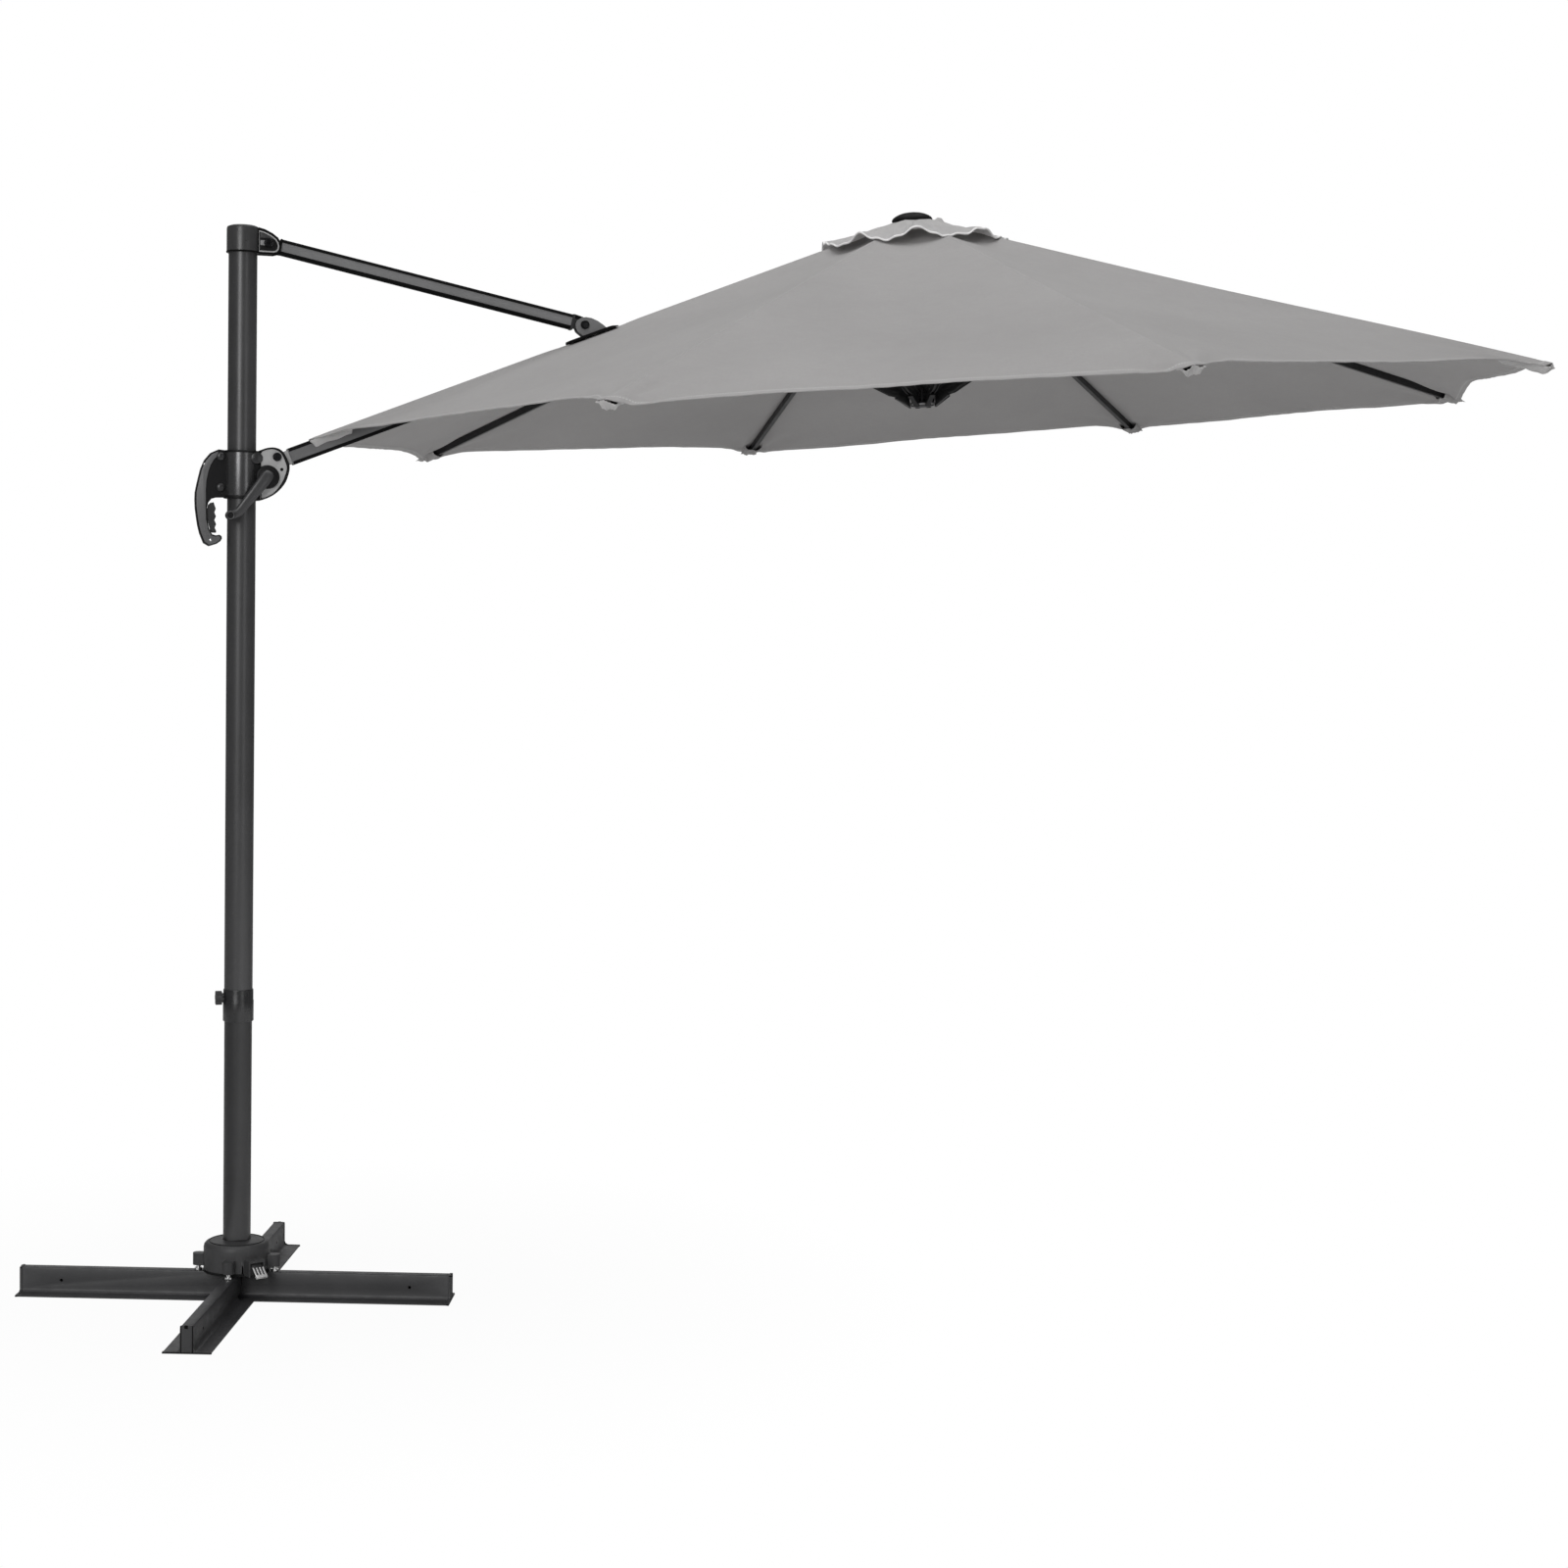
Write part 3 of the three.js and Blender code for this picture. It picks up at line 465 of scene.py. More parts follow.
    def bar(self, path, n=20, power=2.6):
        """A rounded bar through (x, y, z, half width across in XZ, half thickness in y) points, ends closed."""
        rings = []
        for i, (x, y, z, hw, ht) in enumerate(path):
            a, b = path[max(i - 1, 0)], path[min(i + 1, len(path) - 1)]
            dx, dz = b[0] - a[0], b[2] - a[2]
            l = math.hypot(dx, dz)
            nx, nz = -dz / l, dx / l
            ring = []
            for j in range(n):
                t = 2 * math.pi * j / n
                c, s = math.cos(t), math.sin(t)
                cc, ss = math.copysign(abs(c) ** (2 / power), c), math.copysign(abs(s) ** (2 / power), s)
                ring.append((x + nx * hw * cc, y + ht * ss, z + nz * hw * cc))
            rings.append(ring)
        return self.rings(rings)

    def beam(self, section, x0, x1, e=0.6):
        """A YZ section, long from x0 to x1, with eased ends."""
        cy, cz = sum(p[0] for p in section) / len(section), sum(p[1] for p in section) / len(section)
        small = [(cy + (y - cy) * 0.94, cz + (z - cz) * 0.94) for y, z in section]
        return self.rings([[(x, y, z) for y, z in pts] for pts, x in ((small, x0), (section, x0 + e), (section, x1 - e), (small, x1))])

    def done(self, name, mat, body, slot=None, sharp=32, **kw):
        return mesh_object(name, self.v, self.q, mat, body, slot, sharp=sharp, **kw)


def smoothstep(a, b, x):
    t = min(1.0, max(0.0, (x - a) / (b - a)))
    return t * t * (3 - 2 * t)


def lerp(a, b, t):
    return a + (b - a) * t


def smooth_path(points, per=6):
    """Catmull-Rom through the points."""
    pts = [Vector(p) for p in points]
    ext = [pts[0] * 2 - pts[1]] + pts + [pts[-1] * 2 - pts[-2]]
    out = []
    for i in range(1, len(ext) - 2):
        p0, p1, p2, p3 = ext[i - 1:i + 3]
        for j in range(per):
            t = j / per
            out.append(0.5 * ((2 * p1) + (p2 - p0) * t + (2 * p0 - 5 * p1 + 4 * p2 - p3) * t * t + (3 * p1 - p0 - 3 * p2 + p3) * t ** 3))
    out.append(pts[-1])
    return out


# ------------------------------------------------------------------ CAD nodes: crisp bevelled edges and their own finishes
FINISH = {}
for n in NODES:
    if n.startswith("beam_cap"):
        FINISH[n] = ("plastic_base", 0.0008)
    elif n.startswith("beam_"):
        FINISH[n] = ("steel", 0.0006)
    elif n == "centre_plate":
        FINISH[n] = ("steel", 0.0006)
    elif n.endswith("mast_tube"):
        FINISH[n] = ("mast" if n.startswith("upper") else "lower", 0.0)
    elif n.startswith("base_bolt"):
        FINISH[n] = ("zinc", 0.0005)
    elif n == "lock_pedal":
        FINISH[n] = ("chrome", 0.0005)
    elif n == "base_housing":
        FINISH[n] = ("plastic_base", 0.0012)
    elif n in ("arm_tube", "strut_tube"):
        FINISH[n] = (n.split("_")[0], 0.0)
    elif n == "arm_root_fitting":
        FINISH[n] = ("cover", 0.0008)
    elif n == "crank_cover_plate":
        FINISH[n] = ("cover", 0.0008)
    elif n == "strut_bracket":
        FINISH[n] = ("bracket", 0.0006)
    elif n in ("strut_top_bolt", "strut_lower_bolt", "arm_pivot_bolt"):
        FINISH[n] = ("bolt", 0.0008)
    elif n.startswith("rib_") or n.startswith("stretcher_"):
        FINISH[n] = ("rib", 0.0006)
    elif n == "slider_housing":
        FINISH[n] = ("slider_dark", 0.0009)
    elif n == "mast_top_cap":
        FINISH[n] = ("cap", 0.0009)
    elif n == "joint_collar":
        FINISH[n] = ("slider", 0.0009)
    else:
        FINISH[n] = ("plastic", 0.0008)

for n, (mat, width) in FINISH.items():
    o = NODES[n]
    for s in range(max(1, len(o.material_slots))):
        if len(o.material_slots) == 0:
            o.data.materials.append(M[mat])
        else:
            o.material_slots[s].material = M[mat]
    if "custom_normal" in o.data.attributes:
        o.data.attributes.remove(o.data.attributes["custom_normal"])
    for p in o.data.polygons:
        p.use_smooth = True
    weld = o.modifiers.new("weld", "WELD")
    weld.merge_threshold = 0.00002
    bevel = o.modifiers.new("bevel", "BEVEL")
    bevel.width = max(width, 0.0003)
    bevel.segments = 2
    bevel.limit_method = "ANGLE"
    bevel.angle_limit = 34 * D2R
    bevel.harden_normals = True
    bevel.use_clamp_overlap = True

# ------------------------------------------------------------------ canopy: one continuous cloth, cut where it rides with its ribs
R_TIP = 1.497
C8, S8 = math.cos(math.pi / 8), math.sin(math.pi / 8)


def body_for(k):
    return "arm" if k == 1 else f"rib_{k}_body"


# droop of the hem below the flat gore, mm, at shares of the way from one tip to the next; the values at the tips are shared
HEM_AT = (0, .03, .06, .1, .2, .3, .4, .5, .6, .7, .8, .9, .94, .97, 1)
HEM = {
    1: (1.5, 10, 11, 12, 12, 10, 9, 6, 3, 0, 1, 7, 10, 10, 5),
    2: (5, 7, 1, -5, -7, -7, -8.5, -10.5, -11.5, -11.5, -8.5, -4, -1, 5, 5),
    3: (5, 10.5, 10, 10, 9, 6.5, 2.5, -0.7, -3.5, -5.5, -8.5, -10, -8, 3, 5),
    4: (5, 4, 3, 3.5, 3.5, 6, 6, 5.5, 6.5, 8.8, 12, 13.7, 15, 15, 6),
    5: (6, 12.4, 10, 3.3, -10, -17.5, -15.5, -11, -7.5, -2.5, 1.5, 3, 6, 6.2, 0),
    6: (0, 5, 2, -4.5, -9, -7.8, -6.6, -6.4, -5.4, -4.2, -4, -3, -1, 1, 1),
    7: (1, 12, 15, 13.7, 11.8, 10, 9, 9.5, 10.5, 10.4, 12, 16, 17, 14, 1),
    8: (1, -2, -8, -9.5, -10, -8, -9.2, -9.4, -8.4, -8.5, -8.3, -8.6, -8, -3, 1.5),
}
HEM_CUT = {1: .32, 2: .40, 3: .40, 4: .38, 5: .30, 6: .24, 7: .24, 8: .26}   # how much of each mm is made up by cutting the hem back
HEM_RAISE = {.30: 0.88}                                                      # the rest is lift of the cloth; this gore is seen end on


def hem_value(k, t):
    """Droop of the hem in mm beside spoke k, the same on both sides of every cut line and every rib."""
    gore, share = (k, abs(t) / 2) if t < 0 else ((k - 2) % 8 + 1, 1 - abs(t) / 2)
    row = HEM[gore]
    i = 0
    while i < len(HEM_AT) - 2 and share > HEM_AT[i + 1]:
        i += 1
    h = HEM_AT[i + 1] - HEM_AT[i]
    u = (share - HEM_AT[i]) / h
    slope = lambda j: 0.0 if j in (0, len(row) - 1) else (row[j + 1] - row[j - 1]) / (HEM_AT[j + 1] - HEM_AT[j - 1])
    m0, m1 = slope(i) * h, slope(i + 1) * h
    v = (2 * u ** 3 - 3 * u * u + 1) * row[i] + (u ** 3 - 2 * u * u + u) * m0 + (3 * u * u - 2 * u ** 3) * row[i + 1] + (u ** 3 - u * u) * m1
    return v + 1.3 * smoothstep(0, 0.08, min(share, 1 - share)), HEM_CUT[gore]


def edge_radius(k, t):
    """Nominal rib radius of the cut edge beside spoke k, t from 0 on the rib to -1 or 1 at the middle of the gore."""
    g = abs(t)
    y = g * 0.5303
    v, cut = hem_value(k, t)
    inward = (1 - HEM_RAISE.get(cut, 0.45)) * max(0.0, -v) / cut / 1000
    hem = 1.490 - 0.016 * g * (2 - g) - inward
    tip = 1 - smoothstep(0.022, 0.038, y)
    return lerp(hem, R_TIP + (0.016 if k == 6 else 0.0) - 0.003 * (y / 0.03) ** 2 * (1 if y < 0.03 else 0), tip)


def ripple(gx, gy):
    """Slow unevenness of stretched cloth, the same on both sides of every cut line."""
    return (math.sin(9.1 * gx + 2.3 * gy + 0.4) + math.sin(5.3 * gy - 6.7 * gx + 2.1) + 0.6 * math.sin(17.0 * gx - 11.0 * gy + 1.0)) / 2.6


def surface(k, t, r, d, lift=0.0):
    """Point of the cloth's middle line in spoke k's frame, metres. t from -1 to 1 across, r nominal radius, d distance in from the cut edge."""
    g = abs(t)
    x, y = r * (1 - g * S8 * S8), t * r * C8 * S8
    z = -TAN * r
    f = 0.45 * g * (2 - g) + 0.55 * smoothstep(0, 1, g)
    u = r / 1.5
    z -= 0.021 * math.sin(math.pi * min(1.0, u) ** 0.85) * f
    v, cut = hem_value(k, t)
    free = smoothstep(0.010, 0.045, abs(y))
    near_hem = max(0.0, 1 - d / 0.24) ** 2 * free + smoothstep(1.470, 1.497, x) * (1 - free)
    z -= (max(0.0, v) + HEM_RAISE.get(cut, 0.45) * min(0.0, v)) / 1000 * near_hem
    if k == 6:  # this rib is sprung up a little toward its tip
        z += 0.0125 * smoothstep(0.55, 1.45, x) * (1 - g) ** 2
    az = spoke_az(k)
    gx, gy = x * math.cos(az) - y * math.sin(az), x * math.sin(az) + y * math.cos(az)
    z += 0.0022 * ripple(gx, gy) * f * min(1, u * 2)
    ay = abs(y)
    # tension folds that fan out from each tip and from the crown
    to_tip = math.hypot(1.49 - x, y)
    fan = math.atan2(ay, max(1e-4, 1.50 - x))
    z += 0.0032 * math.sin(fan * 13 + 0.8 + 0.6 * math.sin(k * 2.1)) * math.exp(-((to_tip - 0.11) / 0.10) ** 2) * smoothstep(0.010, 0.05, ay)
    # little gathers along the hem
    gather = 0.0005 * math.sin(118 * (0.5303 - ay) + 1.7) * math.exp(-(d / 0.024) ** 2) * smoothstep(0.035, 0.07, ay)
    z += gather
    # the seam over the rib stands up a little, except under the strut bracket
    ridge = 0.0013 * math.exp(-(ay / 0.018) ** 2)
    if k == 1:
        ridge *= 1 - smoothstep(0.70, 0.745, x) * (1 - smoothstep(0.90, 0.945, x))
    z += ridge
    return Vector((x, y, z + lift))


T_HALF = [0, .006, .012, .018, .026, .035, .044, .052, .060, .068, .076, .088, .104, .125, .155, .19, .23, .28, .33, .39, .45, .52, .59, .66, .73, .80, .86, .92, .965, 1.0]
T_ALL = [-t for t in T_HALF[:0:-1]] + T_HALF
D_ROWS = [0.0, .0012, .0035, .008, .013, .0175, .0195, .023, .030, .040, .052, .068, .086, .108, .13]
R_IN = 0.062
N_IN = 44


def thickness(d):
    hem = 1 - smoothstep(0.0172, 0.0198, d)
    t = 0.0010 + 0.0018 * hem
    return t * (0.42 + 0.58 * min(1.0, math.sqrt(max(0.0, d) / 0.0025)))


def canopy_sector(k):
    cols = T_ALL
    rows = [("d", d) for d in D_ROWS] + [("s", 1 - (i + 1) / N_IN) for i in range(N_IN)]
    mid, info = [], []
    for kind, v in rows:
        for t in cols:
            re = edge_radius(k, t)
            if kind == "d":
                r, d = re - v, v
            else:
                r = R_IN + (re - D_ROWS[-1] - R_IN) * v
                d = re - r
            mid.append(surface(k, t, r, d))
            info.append((t, r, d))
    nc, nr = len(cols), len(rows)
    sp = spoke(k)
    normals = []
    for i in range(nr):
        for j in range(nc):
            a = mid[i * nc + min(j + 1, nc - 1)] - mid[i * nc + max(j - 1, 0)]
            b = mid[max(i - 1, 0) * nc + j] - mid[min(i + 1, nr - 1) * nc + j]
            n = b.cross(a)
            n.normalize()
            if n.z < 0:
                n = -n
            if j in (0, nc - 1):  # both sides of a cut line use the normal of their plane of symmetry
                az = math.pi / 8 * (1 if j == nc - 1 else -1)
                m = Vector((-math.sin(az), math.cos(az), 0))
                n = (n - m * n.dot(m)).normalized()
            normals.append(n)
    verts, uv, stitch = [], [], []
    for side in (0.5, -0.5):
        for p, n, (t, r, d) in zip(mid, normals, info):
            q = p + n * (side * thickness(d)) + n * -0.0002
            verts.append(sp(q.x * 1000, q.y * 1000, q.z * 1000))
            uv.append((p.y, r / math.cos(SLOPE)))
            stitch.append((p.y, min(d / 0.027, 1.2)))
    faces, off = [], nr * nc
    for i in range(nr - 1):
        for j in range(nc - 1):
            a, b, c, d = i * nc + j, i * nc + j + 1, (i + 1) * nc + j + 1, (i + 1) * nc + j
            faces += [(a, b, c, d), (a + off, d + off, c + off, b + off)]
    for j in range(nc - 1):
        for i0 in (0, nr - 1):
            a, b = i0 * nc + j, i0 * nc + j + 1
            faces.append((a, a + off, b + off, b) if i0 == 0 else (a, b, b + off, a + off))
    for i in range(nr - 1):
        for j0 in (0, nc - 1):
            a, d = i * nc + j0, (i + 1) * nc + j0
            faces.append((a, d, d + off, a + off) if j0 == 0 else (a, a + off, d + off, d))
    o = mesh_object(f"canopy_cloth_{k}", verts, faces, "cloth", body_for(k), "canopy_cloth", sharp=60, uvs={"Cloth": uv, "Stitch": stitch})
    o.data.materials.append(M["hem"])
    n_hem = sum(1 for d in D_ROWS if d <= 0.0196) - 1
    for p in o.data.polygons:
        rows_of = {(v % off) // nc for v in p.vertices}
        if max(rows_of) <= n_hem:
            p.material_index = 1
    # both sides of a cut line are shaded with one normal, so that the cloth reads as one sheet
    me = o.data
    az = spoke_az(k)
    basis = [EX * math.cos(az) + EY * math.sin(az), -EX * math.sin(az) + EY * math.cos(az), EZ]
    vn = [v.normal.copy() for v in me.vertices]
    custom = [(0.0, 0.0, 0.0)] * len(me.vertices)
    for i in range(nr):
        for j in (0, nc - 1):
            n = normals[i * nc + j]
            w = basis[0] * n.x + basis[1] * n.y + basis[2] * n.z
            custom[i * nc + j] = tuple(w)
            custom[off + i * nc + j] = tuple(-w)
    me.normals_split_custom_set_from_vertices([c if c != (0.0, 0.0, 0.0) else tuple(n) for c, n in zip(custom, vn)])
    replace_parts(o, f"canopy_panel_{k}")
    return o


def seam(k, o):
    """Flat-felled seam along the ridge: a narrow raised strip with two rows of stitches."""
    s, verts, faces, stitch, uv = spoke(k), [], [], [], []
    spans = [(0.245, 1.478)] if k > 1 else [(0.245, 0.735), (0.905, 1.478)]
    for r0, r1 in spans:
        n = max(8, int((r1 - r0) / 0.03))
        prof = [(-6.4, -0.55), (-5.8, 0.06), (-2.2, 0.30), (0, 0.22), (2.2, 0.30), (5.8, 0.06), (6.4, -0.55)]
        start = len(verts)
        for i in range(n + 1):
            r = r0 + (r1 - r0) * i / n
            for y, h in prof:
                t = y / 1000 / (r * C8 * S8)
                p = surface(k, t, r, edge_radius(k, t) - r)
                verts.append(s(p.x * 1000, p.y * 1000, p.z * 1000 + 0.5 + h))
                stitch.append((r, 0.5 if abs(abs(y) - 2.2) < 0.1 else 0.0))
                uv.append((p.y, r))
        m = len(prof)
        for i in range(n):
            for j in range(m):
                a, b = start + i * m + j, start + i * m + (j + 1) % m
                faces.append((a, b, b + m, a + m))
        faces.append(tuple(start + j for j in range(m))[::-1])
        faces.append(tuple(start + n * m + j for j in range(m)))
    return mesh_object(f"ridge_seam_{k}", verts, faces, "seam", body_for(k), "canopy_cloth", sharp=50, uvs={"Cloth": uv, "Stitch": stitch})


def pocket(k):
    """Cloth pocket under the tip, drawn round the end of its rib, with gathers."""
    s, verts, faces, uv, stitch = spoke(k), [], [], [], []
    rows, cols = 16, 18
    for i in range(rows + 1):
        u = i / rows
        x = lerp(1.400 if k in (1, 6, 7, 8) else 1.436, 1.5135 if k == 6 else 1.4965, u)
        half = lerp(0.0265, 0.0230, smoothstep(0, 0.6, u))
        near = k in (1, 6, 7, 8)
        depth = lerp(0.0225, 0.0240 if near else 0.0150, smoothstep(0.35, 0.8, u)) * (1 - 0.93 * smoothstep(0.84 if near else 0.72, 1.0, u))
        for side in (0, 1):
            for j in range(cols + 1):
                v = -1 + 2 * j / cols
                y = half * v
                top = surface(k, y / (x * C8 * S8), x + abs(y) * S8 / C8, 0.01)
                shape = (1 - abs(v) ** 3.2)
                wr = 0.0020 * math.sin(11 * u + 5 * v + k) * shape + 0.0016 * math.sin(21 * v - 8 * u + 2 * k) * shape * (0.3 + 0.7 * u)
                z = top.z - 0.0014 - (depth * shape + wr) * (1 if side else 0.93) + (0 if side else 0.0009)
                verts.append(s(x * 1000, y * 1000, z * 1000))
                uv.append((y, x))
                stitch.append((y + x, 0.5 if i in (1,) else 0.0))
    n = cols + 1
    for i in range(rows):
        for side in (0, 1):
            for j in range(cols):
                a = (i * 2 + side) * n + j
                b = a + 2 * n
                faces.append((a, a + 1, b + 1, b))
        for j in (0, cols):
            a, b = (i * 2) * n + j, (i * 2 + 1) * n + j
            faces.append((a, b, b + 2 * n, a + 2 * n))
    for i in (0, rows):
        for j in range(cols):
            a, b = (i * 2) * n + j, (i * 2 + 1) * n + j
            faces.append((a, a + 1, b + 1, b))
    # the near-side pockets (spokes 1, 6, 7 and 8) take the lighter flap cloth: painted light on their shaded undersides
    return mesh_object(f"tip_pocket_{k}", verts, faces, "flap" if k in (1, 6, 7, 8) else "hem", body_for(k), "canopy_cloth", sharp=60, uvs={"Cloth": uv, "Stitch": stitch})


def squash_sector(o):
    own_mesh(o)


# vent flap: a gathered skirt round the crown
F_IN, F_OUT = 0.0400, 0.229


WAVES = ((8, 17, 7), (42, 21, 7.5), (78, 15, 7), (112, 23, 8), (143, 16, 7), (166, 24, 6), (184.5, 12, 6.5), (212.5, 19, 7.5), (250.4, 27, 6.6), (293, 24, 7), (335, 5, 6))


def flap_wave(az):
    """Lift of the hem in mm: a few peaks, each (azimuth in degrees, height, half width), with the hem lying flat between them."""
    total = 0.0
    for at, high, wide in WAVES:
        off = (az / D2R - at + 180) % 360 - 180
        total += high * math.exp(-0.5 * (off / wide) ** 2)
    return total


def flap_point(az, u):
    """az round the crown in the canopy frame, u from the finial to the hem."""
    lift, q = flap_wave(az), 0.55 * math.sin(11 * az + 1.2) + 0.45 * math.sin(7 * az + 3.0)
    local = (az + math.pi / 8) % (math.pi / 4) - math.pi / 8
    r = F_IN + (F_OUT * (1 + 0.022 * q) - 0.00028 * lift - F_IN) * u
    rib_r = r * math.cos(local) * (1 + abs(math.tan(local)) * S8 / C8)  # nominal radius of the flat gore under this point
    z = -TAN * rib_r + 0.0042 + lift / 1000 * smoothstep(0.38, 1.0, u) * (0.7 + 0.3 * u)
    z += 0.0030 * (1 - smoothstep(0.08, 0.26, u)) * (1 + 0.3 * math.sin(5 * az + 0.6))
    off = ((az / D2R + 14 + 180) % 360 - 180) / 11
    z += 0.0165 * math.exp(-off * off) * math.exp(-((u - 0.13) / 0.06) ** 2)
    z += (0.0024 * math.sin(17 * az + 2.0 + 5 * u) + 0.0023 * math.sin(29 * az - 7 * u + 1.0)) * smoothstep(0.05, 0.3, u)
    z += (0.0013 * math.sin(22 * az + 8 * u) + 0.0009 * math.sin(41 * az - 5 * u)) * smoothstep(0.02, 0.3, u)
    z -= 0.0012 * smoothstep(0.8, 1.0, u)
    return r, max(z, -TAN * rib_r + 0.0026 + 0.0004 * math.sin(30 * az))


def flap_sector(k):
    centre, n_c, n_r = spoke_az(k), 25, 20
    pts = []
    for i in range(n_r + 1):
        for j in range(n_c):
            az = centre - math.pi / 8 + math.pi / 4 * j / (n_c - 1)
            r, z = flap_point(az, i / n_r)
            pts.append((r, az, z))
    verts, faces, uv = [], [], []
    for side in (0.0, -0.0009):
        for r, az, z in pts:
            verts.append(APEX + (EX * math.cos(az) + EY * math.sin(az)) * r + EZ * (z + side))
            uv.append((az * 0.2, r))
    off = len(pts)
    for i in range(n_r):
        for j in range(n_c - 1):
            a = i * n_c + j
            faces += [(a, a + 1, a + 1 + n_c, a + n_c), (a + off, a + n_c + off, a + 1 + n_c + off, a + 1 + off)]
        for j in (0, n_c - 1):
            a = i * n_c + j
            faces.append((a, a + n_c, a + n_c + off, a + off))
    for i in (0, n_r):
        for j in range(n_c - 1):
            a = i * n_c + j
            faces.append((a, a + off, a + 1 + off, a + 1))
    # the flap takes the lighter flap cloth: partly painted light, partly real light through the cloth
    o = mesh_object(f"vent_flap_{k}", verts, faces, "flap", body_for(k), "canopy_cloth", sharp=70, uvs={"Cloth": uv})
    # piping round the hem
    b = Build(lambda x, y, z: Vector((x, y, z)))
    rings = []
    for j in range(37):
        az = centre - math.pi / 8 + math.pi / 4 * j / 36
        ring = []
        for q in range(8):
            a = 2 * math.pi * q / 8
            r, z = flap_point(az, 1.0)
            ring.append(APEX + (EX * math.cos(az) + EY * math.sin(az)) * (r + 0.0026 * math.cos(a)) + EZ * (z + 0.0026 * math.sin(a)))
        rings.append([tuple(p) for p in ring])
    b.rings(rings)
    n = len(b.v)
    piping = mesh_object(f"flap_piping_{k}", b.v, b.q, "piping", body_for(k), "canopy_cloth", uvs={"Cloth": [(i * 0.003, 0) for i in range(n)], "Stitch": [(i / 8 * 0.005, 0.0) for i in range(n)]})
    if k == 1:
        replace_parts(o, "vent_flap")
    return o, piping


for k in range(1, 9):
    main = canopy_sector(k)
    ridge, tip = seam(k, main), pocket(k)
    squash_sector(main)
    flap, piping = flap_sector(k)
    squash_sector(flap)
    squash_sector(piping)

# ------------------------------------------------------------------ crown: the finial dome, riding with the hub
c1 = spoke(5)
Build(c1).turned([(20, -1.5), (44, -1.8), (48.2, -0.5), (49.6, 2.2), (49.2, 5.0), (46.5, 8.8), (41, 12.8), (33, 16.6), (23, 19.6), (12, 21.3), (4, 21.9), (0, 22)], (-4.5, 0, -8.5), "z", 64).done("finial_dome", "dome", "hub", "dark_plastic")
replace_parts(bpy.data.objects["finial_dome"], "finial")

# ------------------------------------------------------------------ base: painted shade for the notches in the beam end caps, ring and cover rim on the housing
b, d = Build(base_p), Build(base_p)
for i in range(4):
    a = i * math.pi / 2
    turn = lambda x, y, z, a=a: (x * math.cos(a) - y * math.sin(a), x * math.sin(a) + y * math.cos(a), z)
    q = Build(lambda x, y, z: turn(x, y, z)).block(496.2, 498.6, -4.6, 2.4, 54.4, 61.6, 0.3)
    b.add(q.v, q.q)
    q = Build(lambda x, y, z: turn(x, y, z)).block(493.0, 498.4, -14.2, -11.0, 2, 60.4, 0.8).block(493.0, 498.4, 11.0, 14.2, 2, 60.4, 0.8).block(493.0, 498.4, -53.0, 53.0, -0.0, 3.4, 0.6)
    d.add(q.v, q.q)
b.done("beam_cap_notch_shade", "recess", "base", "dark_plastic")
d.done("beam_cap_rims", "slider_dark", "base", "dark_plastic")
Build(base_p).hoop([(30.2, 128.0), (30.2, 133.0), (32.0, 134.0), (57.6, 131.6), (60.0, 130.9), (61.0, 128.0)], (0, 0, 0), "z", 72).done("housing_top_ring", "plastic_base", "base", "dark_plastic")
Build(base_p).hoop([(74.2, 62.4), (76.0, 63.4), (76.0, 67.6), (74.2, 68.8)], (0, 0, 0), "z", 72).hoop([(61.4, 130.4), (61.4, 132.0), (62.8, 132.2), (63.4, 130.4)], (0, 0, 0), "z", 72).done("housing_bands", "slider_dark", "base", "dark_plastic")

# ------------------------------------------------------------------ mast head: cap edge and the windows in both cheeks of its nose
def both(f):
    """The same points on the camera side and mirrored to the far side."""
    return (lambda x, y, z: f(x, y, z)), (lambda x, y, z: f(x, -y, z))


# painted shade: a near-black ring along the lower edge of the mast cap
Build(row_p).hoop([(36.2, 2385.4), (37.1, 2385.8), (37.3, 2387.2), (37.1, 2388.6), (36.2, 2389)], (0, 0, 0), "z", 64).done("cap_edge_shade", "recess", "mast", "dark_plastic")
nose_out = [(33.4, 2436.4), (33.4, 2411), (33.4, 2388), (50, 2388), (66.6, 2388), (74, 2390.2), (77.8, 2395.6), (79, 2403.2), (77.2, 2410.6), (72, 2419), (60.6, 2427), (46.2, 2433.6)]
nose_in = [(34.4, 2433.2), (34.4, 2411), (34.4, 2391.6), (50, 2391.6), (65.5, 2391.6), (71.6, 2393.4), (74.6, 2397.7), (75.6, 2403.5), (74, 2409.6), (69.6, 2416.6), (59, 2424), (45.6, 2430.6)]
